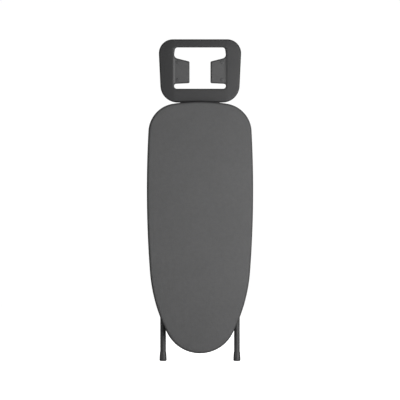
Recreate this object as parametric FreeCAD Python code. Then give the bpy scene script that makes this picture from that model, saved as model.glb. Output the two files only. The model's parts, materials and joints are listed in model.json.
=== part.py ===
# Ironing board, folded and standing on its two straight feet, nose down and iron rest on top.
# Millimetres. +X right, +Z up, -Y is the side that is ironed on, +Y is the side of the legs.
# The origin is on the floor, in the middle of the object's width and depth.
# Every part is modelled with its depth (Y) measured back from the front face of the mesh top;
# save() moves them all so that the origin lies in the middle of the depth.
import FreeCAD
import Part
from FreeCAD import Vector
from math import acos, cos, pi, radians, sin, tan
import os

# ---- Board outline ----
BOARD_WIDTH = 456.0
BOARD_LENGTH = 1080.0
NOSE_Z = 34.4              # height of the nose tip above the floor
NOSE_RADIUS = 157.0
CORNER_RADIUS = 125.0
NOSE_TURN = -27.2          # direction of the outline's normal where the nose arc ends, degrees
FLANK_TURN = -4.3          # where the flank arc ends
SIDE_TURN = 3.1            # where the side arc ends
CORNER_TURN = 81.0         # where the corner arc ends

# ---- Board build-up, front to back ----
COVER_T = 1.0
PAD_T = 8.0
MESH_T = 1.2
RIM_R = 8.0
RIM_WALL = 1.2
EDGE_ROUND = 7.0           # rounding of the pad's front edge
HEM_REACH = 28.0           # how far the cover's hem turns in behind the rim
MESH_PITCH_X = 66.0
MESH_PITCH_Z = 26.0
MESH_SLOT_W = 56.0
MESH_SLOT_H = 18.0
MESH_BORDER = 30.0

# ---- Cross bars: pressed hat sections behind the mesh ----
BAR_W = 40.0
BAR_CREST_W = 24.0
BAR_DEPTH = 8.0
BAR_T = 1.2
NOSE_BAR_UP = 98.0         # above the nose tip
MID_BAR_DOWN = 120.0       # below the leg pivot
TAIL_BAR_DOWN = 105.0      # below the tail edge

# ---- Legs ----
LEG_LENGTH = 910.0         # foot to pivot, the same on both leg frames
OUTER_TUBE_R = 12.5
INNER_TUBE_R = 11.0
TUBE_WALL = 1.2
OUTER_LEG_X = 158.8        # from the middle to each outer tube
LEG_GAP = 7.3              # between an outer and an inner tube
PIVOT_DEPTH = 16.5         # depth of the leg pivot and of the slider rod
PIVOT_TUBE_R = 10.0
COPE = 0.8                 # how far a cross tube is coped into the tube it is welded to
BRACE_R = 8.0
OUTER_BRACE_UP = 170.0     # above the floor
BRACE_END = 9.0            # pressed solid end of the outer brace
INNER_BRACE_IN = 95.0      # from each end of the inner leg
TUBE_TOP_UP = 16.0         # outer tube beyond the pivot
FOLD_MAX = 64.0            # degrees

# ---- Slider end of the inner leg ----
SLIDER_UP = 175.0          # height of the slider rod when folded
ROD_R = 6.0
SLEEVE_R = 8.0
SLEEVE_W = 7.0
SLOT_CLEAR = 0.3
KNUCKLE_LAP = 2.0          # how far each knuckle's arm reaches in front of its tube
KNUCKLE_W = 12.0
KNUCKLE_R = 9.0
COLLAR_T = 15.0
SPIGOT_LENGTH = 35.0

# ---- Rails ----
RAIL_X = 92.0              # from the middle to the centre of each rail's web
RAIL_T = 2.0
RAIL_FLANGE = 18.0
RAIL_DEPTH = 28.0
RAIL_DEPTH_AT_PIVOT = 34.0
RAIL_BELOW_SLIDER = 22.0
RAIL_ABOVE_PIVOT = 35.0
RIVET_R = 2.0
RIVET_HEAD_R = 3.6
RIVET_HEAD_T = 1.6
RIVET_IN = 6.0             # from the middle of the rail's flange towards the board's middle
RAIL_RIVETS = 7
BUSH_R = 11.6
BUSH_FLANGE_R = 13.0
BUSH_FLANGE_T = 3.0
PIN_CLEAR = 0.05           # radial clearance of a turning fit

# ---- Crossing of the legs ----
BOLT_R = 4.0
BOLT_HEAD_R = 8.0
BOLT_HEAD_T = 4.0
BOLT_HEAD_ROUND = 2.0
NUT_T = 6.0
SPACER_R = 9.0
FACE_CLEAR = 0.3           # between faces of parts that move past each other

# ---- Feet and plugs ----
FOOT_LENGTH = 39.0
FOOT_WALL_TOP = 1.3
FOOT_FLARE = 3.0
FOOT_SOLE = 8.0
FOOT_ROUND = 4.0
FOOT_ROUND_IN = 1.0        # the rounded edge of the sole passes through this point,
FOOT_ROUND_UP = 1.6        # in from the side and up from the floor
RING_UP = 10.0
RING_CUT = 0.6
PLUG_LIP = 3.0
PLUG_ROUND = 1.8
PLUG_DEEP = 14.0

# ---- Height release ----
COMB_GAP = 3.0             # between each toothed strip and the web of its rail
COMB_T = 4.0
COMB_DEPTH = 4.2           # front edge of the strips
COMB_W = 5.6
COMB_BELOW = 40.0          # strip below the lowest working notch
NOTCH_R = 3.0
WORK_ANGLES = (38.0, 44.0, 50.0, 55.0, 60.0, 64.0)
BRIDGE_UP = 13.0           # bridge above the rod's highest position
BRIDGE_W = 16.0
BRIDGE_T = 2.0
SHAFT_R = 4.0
SHAFT_DEPTH = 12.0
SHAFT_DOWN = 80.0          # below the leg pivot
CRANK_LENGTH = 20.0
CRANK_T = 4.0
CRANK_HUB_R = 8.0
CRANK_W = 12.0
CRANK_TIP = 5.0            # beyond the link's pin
CRANK_SLOT_CLEAR = 0.5
CRANK_SLOT_IN = 0.5        # play of the link's pin along the slot, towards the shaft
CRANK_SLOT_OUT = 1.5       # and away from it
LINK_PIN_R = 2.5
LINK_PIN_PROUD = 1.0
LINK_W = 8.0
LEVER_STAND = 26.0         # degrees that the lever stands off the board at rest
LEVER_LENGTH = 118.0
GRIP_OUT = 185.0           # middle of the grip, from the middle of the board
GRIP_W = 16.0
GRIP_T = 12.0
GRIP_LENGTH = 84.0
LEVER_PLATE_T = 4.0
LEVER_PLATE_W = 6.0
SPRING_R = 4.0
SPRING_WIRE_R = 0.7
SPRING_PITCH = 4.4
SPRING_DEPTH = 7.0
SPRING_TAIL = 12.0
LUG_T = 2.0
LUG_FOOT = 10.0
LUG_X = 148.0
SHAFT_END = 6.0            # shaft beyond the crank

# ---- Iron rest ----
REST_LAP = 3.0             # how far the rest reaches down behind the board's tail
REST_LAP_BACK = 0.5        # how much further back its face lies there
REST_HEIGHT = 271.6
REST_WIDTH_TOP = 359.5
REST_WIDTH_LOW = 334.0
REST_CORNER_TOP = 60.0
REST_CORNER_LOW = 74.0
REST_BAR_TOP = 35.4
REST_BAR_LOW = 59.0
REST_WINDOW_HALF = 111.0
REST_DEPTH = 14.0          # depth of the turned-down outer edge
REST_LIP = 6.0             # depth of the turned-down edges round the window
REST_T = 1.5
TAB_IN = 45.0              # inner end of each tab, from the middle
TAB_STEP = 5.0             # how far the tabs are pressed back
TAB_SLOPE = 6.0            # width of the pressed step
TAB_LOW_UP = 21.0          # tab's lower edge above the window's lower edge
TAB_TOP_DOWN = 38.0        # tab's upper edge at the frame, below the window's top
TAB_DIP = 22.0             # how much lower the upper edge is at the inner end
TAB_ROUND = 6.0
TAB_LOW_RISE = 3.0         # how much higher the lower edge is at the inner end
TAB_TOP_DROP = 5.0         # how far the upper edge starts below the tab's upper edge
TAB_TOP_OUT = 1.5          # and how far outside the window's side
WINDOW_TOP_IN = 4.0        # how much narrower the window is at its top, each side
WINDOW_LOW_ROUND = 11.5
WINDOW_TOP_ROUND = 12.0
TAB_ROOT_ROUND_LOW = 9.0
TAB_ROOT_ROUND_TOP = 17.0
STUD_X = 95.0
STUD_UP = (38.0, 114.0)    # above the window's lower edge
STUD_R = 7.0
STUD_T = 2.4
STUD_ROUND = 1.44
STUD_WASHER_R = 6.0
STUD_WASHER_T = 1.2
REST_ROD_X = 81.0
REST_ROD_R = 4.0
REST_ROD_DOWN = 3.0        # end of each rod below the window
REST_ROD_END = 1.0         # rod below its clamp
CLAMP_W = 34.0
CLAMP_H = 22.0
CLAMP_COVER = 3.0
CLAMP_ROUND = 2.0
SCREW_R = 2.0
SCREW_HEAD_R = 4.0
SCREW_HEAD_T = 2.2
SCREW_EDGE = 1.0           # between a screw's head and the clamp's side

# ---- Heights and depths that follow from the sizes above ----
TAIL_Z = NOSE_Z + BOARD_LENGTH
LEG_DEPTH = PIVOT_DEPTH + OUTER_TUBE_R + PIVOT_TUBE_R - COPE
INNER_LEG_X = OUTER_LEG_X - OUTER_TUBE_R - LEG_GAP - INNER_TUBE_R
KNUCKLE_OUT = INNER_LEG_X - INNER_TUBE_R + KNUCKLE_LAP
COMB_OUT = RAIL_X - RAIL_T / 2 - COMB_GAP
PIVOT_Z = LEG_LENGTH
INNER_FOOT_Z = SLIDER_UP + LEG_LENGTH
CROSS_Z = (PIVOT_Z + SLIDER_UP) / 2
OUTER_BRACE_DEPTH = LEG_DEPTH + OUTER_TUBE_R + BRACE_R - COPE
RIM_DEPTH = MESH_T + RIM_R
RIM_INSET = COVER_T + RIM_R
HEM_DEPTH = MESH_T + 2 * RIM_R + FACE_CLEAR
REST_FACE_DEPTH = HEM_DEPTH + COVER_T + FACE_CLEAR
REST_ROD_DEPTH = REST_FACE_DEPTH + REST_T + REST_ROD_R
NOSE_BAR_Z = NOSE_Z + NOSE_BAR_UP
MID_BAR_Z = PIVOT_Z - MID_BAR_DOWN
TAIL_BAR_Z = TAIL_Z - TAIL_BAR_DOWN
SHAFT_Z = PIVOT_Z - SHAFT_DOWN
REST_Z = TAIL_Z - REST_LAP
REST_TOP_Z = REST_Z + REST_HEIGHT
WINDOW_Z = REST_Z + REST_BAR_LOW
WINDOW_TOP_Z = REST_TOP_Z - REST_BAR_TOP
TAB_BACK = TAB_STEP + REST_T
FRONT = -(PAD_T + COVER_T)
BACK = OUTER_BRACE_DEPTH + BRACE_R
DEPTH_MIDDLE = (FRONT + BACK) / 2


def slider_z(angle):
    """Height of the slider rod when the legs are opened by an angle in degrees."""
    reach = PIVOT_Z - CROSS_Z
    offset = LEG_DEPTH - PIVOT_DEPTH
    return PIVOT_Z - 2 * (reach * cos(radians(angle)) - offset * sin(radians(angle)))


SLIDER_TOP_Z = slider_z(FOLD_MAX)
BRIDGE_Z = SLIDER_TOP_Z + ROD_R + BRIDGE_UP


def save(body, name, shape):
    """Write one part, moved so that the origin is in the middle of the depth."""
    part = shape.copy()
    part.translate(Vector(0, -DEPTH_MIDDLE, 0))
    part.exportStep("parts/" + name + ".step")
    volume = round(part.Volume / 1000, 2)
    print(body, name, "solids", len(part.Solids), "valid", part.isValid(), "cm3", volume)


# ---- General shapes ----
def box(x, depth, z):
    """Box between the given pairs of X, depth and Z."""
    corner = Vector(min(x), min(depth), min(z))
    return Part.makeBox(abs(x[1] - x[0]), abs(depth[1] - depth[0]), abs(z[1] - z[0]), corner)


def rod_x(radius, x, depth, z):
    """Round bar along X between two X values."""
    return Part.makeCylinder(radius, abs(x[1] - x[0]), Vector(min(x), depth, z), Vector(1, 0, 0))


def rod_z(radius, x, depth, z):
    """Round bar along Z between two heights."""
    return Part.makeCylinder(radius, abs(z[1] - z[0]), Vector(x, depth, min(z)), Vector(0, 0, 1))


def rod_y(radius, x, depth, z):
    """Round bar along Y between two depths."""
    return Part.makeCylinder(radius, abs(depth[1] - depth[0]), Vector(x, min(depth), z), Vector(0, 1, 0))


def fuse_all(shapes):
    """One solid from shapes that meet."""
    result = shapes[0].multiFuse(shapes[1:])
    return result.removeSplitter()


def group(shapes):
    """Separate solids kept together in one node."""
    return Part.makeCompound(shapes)


def mirrored(shape):
    """The same shape on the other side of the board's middle."""
    return shape.mirror(Vector(0, 0, 0), Vector(1, 0, 0))


def polygon(points, place):
    """Closed wire through 2D points, put in space by place(u, v)."""
    corners = [place(u, v) for u, v in points]
    return Part.makePolygon(corners + corners[:1])


def rounded_wire(points, radii, place):
    """Closed wire through 2D points with each corner rounded by its own radius."""
    count = len(points)
    edges = []
    ends = []
    for i in range(count):
        corner = Vector(points[i][0], points[i][1], 0)
        before = (Vector(points[i - 1][0], points[i - 1][1], 0) - corner).normalize()
        after = (Vector(points[(i + 1) % count][0], points[(i + 1) % count][1], 0) - corner).normalize()
        half = acos(max(-1.0, min(1.0, before.dot(after)))) / 2
        cut = radii[i] / tan(half)
        start = corner + before * cut
        stop = corner + after * cut
        middle_way = (before + after).normalize()
        middle = corner + middle_way * (radii[i] / sin(half) - radii[i])
        ends.append((start, middle, stop))
    for i in range(count):
        start, middle, stop = [place(p.x, p.y) for p in ends[i]]
        edges.append(Part.Arc(start, middle, stop).toShape())
        following = ends[(i + 1) % count][0]
        edges.append(Part.makeLine(stop, place(following.x, following.y)))
    return Part.Wire(edges)


# ---- Board outline: nose, flank, side, corner and tail arcs, each tangent to the next ----
def outline_radii():
    """Radii of the five arcs: flank, side and tail are worked out from the width and length."""
    turns = [radians(t) for t in (NOSE_TURN, FLANK_TURN, SIDE_TURN, CORNER_TURN)]
    c = [cos(t) for t in turns]
    s = [sin(t) for t in turns]
    half = BOARD_WIDTH / 2
    width_low = half - NOSE_RADIUS * c[0]
    width_top = half - CORNER_RADIUS * (c[2] - c[3])
    length = BOARD_LENGTH - NOSE_RADIUS * (s[0] + 1) - CORNER_RADIUS * (s[3] - s[2])
    # flank * a + side * b = width_low; side * d + tail * e = width_top; sum of rises = length
    a = c[1] - c[0]
    b = 1 - c[1]
    d = 1 - c[2]
    e = c[3]
    f = s[1] - s[0]
    g = s[2] - s[1]
    h = 1 - s[3]
    side = (length - f * width_low / a - h * width_top / e) / (g - f * b / a - h * d / e)
    flank = (width_low - b * side) / a
    tail = (width_top - d * side) / e
    return [NOSE_RADIUS, flank, side, CORNER_RADIUS, tail]


def outline(inset, depth):
    """Closed wire of the board's plan, moved in by inset, at a depth."""
    radii = outline_radii()
    turns = [NOSE_TURN, FLANK_TURN, SIDE_TURN, CORNER_TURN]
    centre = Vector(0, depth, NOSE_Z + radii[0])

    def arc(middle, radius, start, stop):
        points = []
        for turn in (start, (start + stop) / 2, stop):
            t = radians(turn)
            points.append(middle + Vector(cos(t), 0, sin(t)) * (radius - inset))
        return Part.Arc(points[0], points[1], points[2]).toShape()

    nose = arc(centre, radii[0], -180 - turns[0], turns[0])
    right = []
    for i in range(1, 5):
        t = radians(turns[i - 1])
        centre = centre + Vector(cos(t), 0, sin(t)) * (radii[i - 1] - radii[i])
        if i < 4:
            right.append(arc(centre, radii[i], turns[i - 1], turns[i]))
    tail = arc(centre, radii[4], turns[3], 180 - turns[3])
    left = [edge.mirror(Vector(0, 0, 0), Vector(1, 0, 0)) for edge in reversed(right)]
    return Part.Wire(Part.__sortEdges__([nose] + right + [tail] + left))


def slab(inset, depth, back):
    """Solid with the board's plan between two depths."""
    return Part.Face(outline(inset, depth)).extrude(Vector(0, back - depth, 0))


def front_rounded(solid, depth, radius):
    """Round the edges of a solid that lie in the plane of its front face."""
    edges = []
    for edge in solid.Edges:
        if abs(edge.BoundBox.YMin - depth) < 0.01 and abs(edge.BoundBox.YMax - depth) < 0.01:
            edges.append(edge)
    return solid.makeFillet(radius, edges)


def rim_chain(radius):
    """Round bar that follows the rim's centre line right round."""
    path = outline(RIM_INSET, RIM_DEPTH)
    start = path.OrderedEdges[0]
    point = start.valueAt(start.FirstParameter)
    along = start.tangentAt(start.FirstParameter)
    section = Part.Wire(Part.makeCircle(radius, point, along))
    return path.makePipeShell([section], True, False)


# ---- Board ----
def make_cover():
    outer = front_rounded(slab(0, FRONT, HEM_DEPTH + COVER_T), FRONT, EDGE_ROUND + COVER_T)
    inner = front_rounded(slab(COVER_T, FRONT + COVER_T, HEM_DEPTH), FRONT + COVER_T, EDGE_ROUND)
    mouth = slab(HEM_REACH, HEM_DEPTH - COVER_T, HEM_DEPTH + 2 * COVER_T)
    return outer.cut(inner).cut(mouth)


def make_pad():
    return front_rounded(slab(COVER_T, -PAD_T, 0), -PAD_T, EDGE_ROUND)


def rivet_heights():
    """Heights of the rivets along each rail, kept off the cross bar."""
    low = SLIDER_UP
    step = (MID_BAR_Z - BAR_W - low) / (RAIL_RIVETS - 2)
    heights = [low + i * step for i in range(RAIL_RIVETS - 1)]
    return heights + [PIVOT_Z + RAIL_ABOVE_PIVOT / 2]


def rivet_places():
    """X and Z of every rail rivet."""
    x = RAIL_X + RAIL_T / 2 - RAIL_FLANGE / 2 - RIVET_IN
    return [(side * x, z) for side in (-1, 1) for z in rivet_heights()]


def make_mesh_top():
    sheet = slab(COVER_T + RIM_R / 2, 0, MESH_T)
    window = slab(MESH_BORDER, 0, MESH_T)
    cuts = []
    rows = int(BOARD_LENGTH / MESH_PITCH_Z)
    columns = int(BOARD_WIDTH / MESH_PITCH_X / 2) + 1
    bars = (NOSE_BAR_Z, MID_BAR_Z, TAIL_BAR_Z)
    for row in range(1, rows):
        z = NOSE_Z + row * MESH_PITCH_Z
        if min(abs(z - bar) for bar in bars) < BAR_W / 2 + MESH_SLOT_H / 2:
            continue
        shift = MESH_PITCH_X / 2 if row % 2 else 0
        for column in range(-columns, columns + 1):
            x = column * MESH_PITCH_X + shift
            if abs(abs(x) - RAIL_X) < MESH_SLOT_W / 2 + RAIL_T:
                continue
            corners = [(x - MESH_SLOT_W / 2, z), (x, z - MESH_SLOT_H / 2)]
            corners += [(x + MESH_SLOT_W / 2, z), (x, z + MESH_SLOT_H / 2)]
            wire = polygon(corners, lambda u, v: Vector(u, 0, v))
            hole = Part.Face(wire).extrude(Vector(0, MESH_T, 0))
            reach = max((abs(u), v) for u, v in corners)
            if window.isInside(Vector(reach[0], MESH_T / 2, reach[1]), 0.01, False):
                cuts.append(hole)
    for x, z in rivet_places():
        cuts.append(rod_y(RIVET_R, x, (0, MESH_T), z))
    return sheet.cut(Part.makeCompound(cuts))


def make_rim():
    return rim_chain(RIM_R).cut(rim_chain(RIM_R - RIM_WALL))


def make_bar(z):
    """Hat-section cross bar from rim to rim, its ends shaped to the round rim."""
    half = BAR_W / 2
    crest = BAR_CREST_W / 2
    front = MESH_T
    back = MESH_T + BAR_DEPTH
    outer = [(-half, front), (-half, front + BAR_T), (-crest, front + BAR_T), (-crest, back), (crest, back)]
    outer += [(crest, front + BAR_T), (half, front + BAR_T), (half, front)]
    inner = [(crest - BAR_T, front), (crest - BAR_T, back - BAR_T)]
    inner += [(BAR_T - crest, back - BAR_T), (BAR_T - crest, front)]
    wire = polygon(outer + inner, lambda u, v: Vector(-BOARD_WIDTH / 2, v, z + u))
    bar = Part.Face(wire).extrude(Vector(BOARD_WIDTH, 0, 0))
    plan = slab(RIM_INSET, front, back)
    bar = bar.common(plan).cut(rim_chain(RIM_R))
    for x, screw_z in clamp_screw_places():
        bar = bar.cut(rod_y(SCREW_R, x, (front, back), screw_z))
    return bar


def make_rail():
    """Right-hand angle rail with the slider's slot and the hole for the pivot bush."""
    low = SLIDER_UP - RAIL_BELOW_SLIDER
    top = PIVOT_Z + RAIL_ABOVE_PIVOT
    step_low = MID_BAR_Z + BAR_W / 2
    step_top = PIVOT_Z - BUSH_FLANGE_R - RAIL_DEPTH_AT_PIVOT + RAIL_DEPTH
    side = [(low, MESH_T), (top, MESH_T), (top, RAIL_DEPTH_AT_PIVOT), (step_top, RAIL_DEPTH_AT_PIVOT)]
    side += [(step_low, RAIL_DEPTH), (low, RAIL_DEPTH)]
    inside = RAIL_X - RAIL_T / 2
    outside = RAIL_X + RAIL_T / 2
    web = Part.Face(polygon(side, lambda u, v: Vector(inside, v, u))).extrude(Vector(RAIL_T, 0, 0))
    flange = box((outside - RAIL_FLANGE, outside), (MESH_T, MESH_T + RAIL_T), (low, top))
    rail = fuse_all([web, flange])
    slot_r = SLEEVE_R + SLOT_CLEAR
    slot = box((inside, outside), (PIVOT_DEPTH - slot_r, PIVOT_DEPTH + slot_r), (SLIDER_UP, SLIDER_TOP_Z))
    cuts = [slot, box((0, outside), (0, MESH_T + BAR_DEPTH), (MID_BAR_Z - BAR_W / 2, MID_BAR_Z + BAR_W / 2))]
    for z in (SLIDER_UP, SLIDER_TOP_Z):
        cuts.append(rod_x(slot_r, (inside, outside), PIVOT_DEPTH, z))
    cuts.append(rod_x(BUSH_R, (inside, outside), PIVOT_DEPTH, PIVOT_Z))
    cuts.append(rod_x(SHAFT_R + PIN_CLEAR, (inside, outside), SHAFT_DEPTH, SHAFT_Z))
    for x, z in rivet_places():
        cuts.append(rod_y(RIVET_R, abs(x), (0, MESH_T + RAIL_T), z))
    for cut in cuts:
        rail = rail.cut(cut)
    return rail


def make_rail_rivets():
    rivets = []
    for x, z in rivet_places():
        shank = rod_y(RIVET_R, x, (0, MESH_T + RAIL_T), z)
        head = rod_y(RIVET_HEAD_R, x, (MESH_T + RAIL_T, MESH_T + RAIL_T + RIVET_HEAD_T), z)
        rivets.append(fuse_all([shank, head]))
    return group(rivets)


def make_pivot_bush():
    """Right-hand plastic bush that the leg pivot turns in."""
    inside = RAIL_X - RAIL_T / 2 - BUSH_FLANGE_T
    outside = RAIL_X + RAIL_T / 2
    body = rod_x(BUSH_R, (inside, outside + BUSH_FLANGE_T), PIVOT_DEPTH, PIVOT_Z)
    flange = rod_x(BUSH_FLANGE_R, (outside, outside + BUSH_FLANGE_T), PIVOT_DEPTH, PIVOT_Z)
    bore = rod_x(PIVOT_TUBE_R + PIN_CLEAR, (inside, outside + BUSH_FLANGE_T), PIVOT_DEPTH, PIVOT_Z)
    return fuse_all([body, flange]).cut(bore)


# ---- Iron rest: shaped with its face at depth 0, then set back onto its rods ----
def set_back(shape):
    """Move a piece of the rest back to where the rods carry it."""
    shape.translate(Vector(0, REST_FACE_DEPTH, 0))
    return shape


def rest_outline(depth):
    half_top = REST_WIDTH_TOP / 2
    half_low = REST_WIDTH_LOW / 2
    points = [(-half_low, REST_Z), (half_low, REST_Z), (half_top, REST_TOP_Z), (-half_top, REST_TOP_Z)]
    radii = [REST_CORNER_LOW, REST_CORNER_LOW, REST_CORNER_TOP, REST_CORNER_TOP]
    return rounded_wire(points, radii, lambda u, v: Vector(u, depth, v))


def window_outline(depth):
    """Opening of the rest: a wide window with a tab reaching in from each side."""
    tab_low = WINDOW_Z + TAB_LOW_UP
    tab_top = WINDOW_TOP_Z - TAB_TOP_DOWN
    half = REST_WINDOW_HALF
    right = [(half, WINDOW_Z), (half, tab_low), (TAB_IN, tab_low + TAB_LOW_RISE)]
    right += [(TAB_IN, tab_top - TAB_DIP), (half + TAB_TOP_OUT, tab_top - TAB_TOP_DROP)]
    right += [(half - WINDOW_TOP_IN, WINDOW_TOP_Z)]
    radii = [WINDOW_LOW_ROUND, TAB_ROOT_ROUND_LOW, TAB_ROUND, TAB_ROUND]
    radii += [TAB_ROOT_ROUND_TOP, WINDOW_TOP_ROUND]
    left = [(-x, z) for x, z in reversed(right)]
    return rounded_wire(right + left, radii + radii[::-1], lambda u, v: Vector(u, depth, v))


def plate(wire, thickness):
    return Part.Face(wire).extrude(Vector(0, thickness, 0))


def tab_space(half_in, lift, depth):
    """Space between the pressed surface of one tab, lifted back by lift, and a depth."""
    step = REST_WINDOW_HALF + TAB_SLOPE
    foot = REST_WINDOW_HALF - TAB_SLOPE / 2
    profile = [(half_in, TAB_STEP + lift), (foot, TAB_STEP + lift), (step, lift)]
    profile += [(step, depth), (half_in, depth)]
    wire = polygon(profile, lambda u, v: Vector(u, v, WINDOW_Z + TAB_ROUND))
    return Part.Face(wire).extrude(Vector(0, 0, WINDOW_TOP_Z - WINDOW_Z - 2 * TAB_ROUND))


def rest_rod(sign):
    """Straight support rod from the tail bar up behind the rest's lower bar."""
    reach = (TAIL_BAR_Z - CLAMP_H / 2 - REST_ROD_END, WINDOW_Z - REST_ROD_DOWN)
    return rod_z(REST_ROD_R, sign * REST_ROD_X, REST_ROD_DEPTH, reach)


def stud_places():
    places = []
    for side in (-1, 1):
        for up in STUD_UP:
            places.append((side * STUD_X, WINDOW_Z + up))
    return places


def make_iron_rest():
    """Pressed steel tray: flat frame, edges turned down, a tab pressed back on each side."""
    outer = rest_outline(0)
    window = window_outline(0)
    frame = plate(outer, REST_T)
    edge = plate(outer, REST_DEPTH).cut(plate(outer.makeOffset2D(-REST_T), REST_DEPTH))
    lip = plate(window.makeOffset2D(REST_T), REST_LIP).cut(plate(window, REST_LIP))
    hole = plate(window, REST_DEPTH)
    rest = fuse_all([frame, edge, lip]).cut(hole)
    for side in (1, -1):
        front = tab_space(TAB_IN, 0, -REST_T)
        band = tab_space(TAB_IN, 0, REST_DEPTH).cut(tab_space(TAB_IN, REST_T, REST_DEPTH))
        band = band.cut(hole)
        lip_deep = plate(window.makeOffset2D(REST_T), REST_LIP + TAB_STEP).cut(hole)
        lip_deep = lip_deep.common(tab_space(TAB_IN - REST_T, 0, REST_DEPTH))
        if side < 0:
            front, band, lip_deep = [mirrored(shape) for shape in (front, band, lip_deep)]
        rest = rest.cut(front).fuse(band).fuse(lip_deep)
    rest = rest.removeSplitter()
    for x, z in stud_places():
        rest = rest.cut(rod_y(RIVET_R, x, (0, REST_DEPTH), z))
    low_corner = Vector(-REST_WIDTH_TOP / 2, 0, REST_Z)
    lapped = Part.makeBox(REST_WIDTH_TOP, REST_LAP_BACK, REST_LAP + FACE_CLEAR, low_corner)
    return set_back(rest.cut(lapped)).cut(rest_rod(-1)).cut(rest_rod(1))


def make_rest_studs():
    """Domed studs through the tabs that carry the iron's sole."""
    studs = []
    for x, z in stud_places():
        head = rod_y(STUD_R, x, (TAB_STEP - STUD_T, TAB_STEP), z)
        rim = [e for e in head.Edges if e.BoundBox.YMax < TAB_STEP - STUD_T / 2 and e.Length > 2 * STUD_R]
        head = head.makeFillet(STUD_ROUND, rim)
        shank = rod_y(RIVET_R, x, (TAB_STEP, TAB_BACK + 2 * STUD_WASHER_T), z)
        studs.append(fuse_all([head, shank]))
    return set_back(group(studs))


def make_stud_washers():
    """Push-on washers that hold the studs behind the tabs."""
    washers = []
    for x, z in stud_places():
        ring = rod_y(STUD_WASHER_R, x, (TAB_BACK, TAB_BACK + STUD_WASHER_T), z)
        washers.append(ring.cut(rod_y(RIVET_R, x, (TAB_BACK, TAB_BACK + STUD_WASHER_T), z)))
    return set_back(group(washers))


def clamp_screw_places():
    places = []
    for side in (-1, 1):
        for step in (-1, 1):
            places.append((side * REST_ROD_X + step * (CLAMP_W / 2 - SCREW_HEAD_R - SCREW_EDGE), TAIL_BAR_Z))
    return places


def make_rod_clamps():
    """Moulded blocks on the tail bar with the support rods through them."""
    clamps = []
    back = REST_ROD_DEPTH + REST_ROD_R + CLAMP_COVER
    for side in (-1, 1):
        x = side * REST_ROD_X
        block = box((x - CLAMP_W / 2, x + CLAMP_W / 2), (MESH_T + BAR_DEPTH, back),
                    (TAIL_BAR_Z - CLAMP_H / 2, TAIL_BAR_Z + CLAMP_H / 2))
        block = block.makeFillet(CLAMP_ROUND, [e for e in block.Edges if e.BoundBox.YLength > CLAMP_COVER])
        clamps.append(block.cut(rest_rod(side)))
    for x, z in clamp_screw_places():
        hole = rod_y(SCREW_R, x, (MESH_T, back), z)
        clamps = [clamp.cut(hole) for clamp in clamps]
    return group(clamps)


def make_clamp_screws():
    screws = []
    back = REST_ROD_DEPTH + REST_ROD_R + CLAMP_COVER
    for x, z in clamp_screw_places():
        shank = rod_y(SCREW_R, x, (MESH_T + BAR_DEPTH - BAR_T, back), z)
        head = rod_y(SCREW_HEAD_R, x, (back, back + SCREW_HEAD_T), z)
        screws.append(fuse_all([shank, head]))
    return group(screws)


# ---- Leg frames ----
def make_foot(x, depth, sole_z, up, radius):
    """Turned plastic foot over a tube end; up is +1 where the tube rises from it."""
    top = radius + FOOT_WALL_TOP
    wide = radius + FOOT_FLARE
    profile = [(0, 0), (wide - FOOT_ROUND, 0), (wide - FOOT_ROUND_IN, FOOT_ROUND_UP), (wide, FOOT_ROUND)]
    profile += [(wide, RING_UP - RING_CUT), (wide - RING_CUT, RING_UP), (wide, RING_UP + RING_CUT)]
    profile += [(top, FOOT_LENGTH), (radius, FOOT_LENGTH), (radius, FOOT_SOLE), (0, FOOT_SOLE)]
    wire = polygon(profile, lambda u, v: Vector(x + u, depth, sole_z + up * v))
    return Part.Face(wire).revolve(Vector(x, depth, 0), Vector(0, 0, 1), 360)


def make_plug(radius, x, depth, top_z):
    """Moulded plug in the upper end of a tube."""
    inside = rod_z(radius - TUBE_WALL, x, depth, (top_z - PLUG_DEEP, top_z))
    lip = rod_z(radius, x, depth, (top_z, top_z + PLUG_LIP))
    rim = [e for e in lip.Edges if e.BoundBox.ZMin > top_z + PLUG_LIP / 2 and e.Length > radius]
    return fuse_all([inside, lip.makeFillet(PLUG_ROUND, rim)])


def outer_tube_body(sign, radius):
    return rod_z(radius, sign * OUTER_LEG_X, LEG_DEPTH, (FOOT_SOLE, PIVOT_Z + TUBE_TOP_UP))


def inner_tube_body(sign, radius):
    low = SLIDER_UP - KNUCKLE_R + COLLAR_T
    return rod_z(radius, sign * INNER_LEG_X, LEG_DEPTH, (low, INNER_FOOT_Z - FOOT_SOLE))


def make_outer_tube(sign):
    tube = outer_tube_body(sign, OUTER_TUBE_R).cut(outer_tube_body(sign, OUTER_TUBE_R - TUBE_WALL))
    reach = (sign * (OUTER_LEG_X - 2 * OUTER_TUBE_R), sign * (OUTER_LEG_X + 2 * OUTER_TUBE_R))
    return tube.cut(rod_x(BOLT_R, reach, LEG_DEPTH, CROSS_Z))


def make_inner_tube(sign):
    tube = inner_tube_body(sign, INNER_TUBE_R).cut(inner_tube_body(sign, INNER_TUBE_R - TUBE_WALL))
    reach = (sign * (INNER_LEG_X - 2 * INNER_TUBE_R), sign * (INNER_LEG_X + 2 * INNER_TUBE_R))
    return tube.cut(rod_x(BOLT_R + PIN_CLEAR, reach, LEG_DEPTH, CROSS_Z))


def make_pivot_tube():
    reach = OUTER_LEG_X + OUTER_TUBE_R / 2
    tube = rod_x(PIVOT_TUBE_R, (-reach, reach), PIVOT_DEPTH, PIVOT_Z)
    tube = tube.cut(rod_x(PIVOT_TUBE_R - TUBE_WALL, (-reach, reach), PIVOT_DEPTH, PIVOT_Z))
    return tube.cut(outer_tube_body(-1, OUTER_TUBE_R)).cut(outer_tube_body(1, OUTER_TUBE_R))


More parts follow.
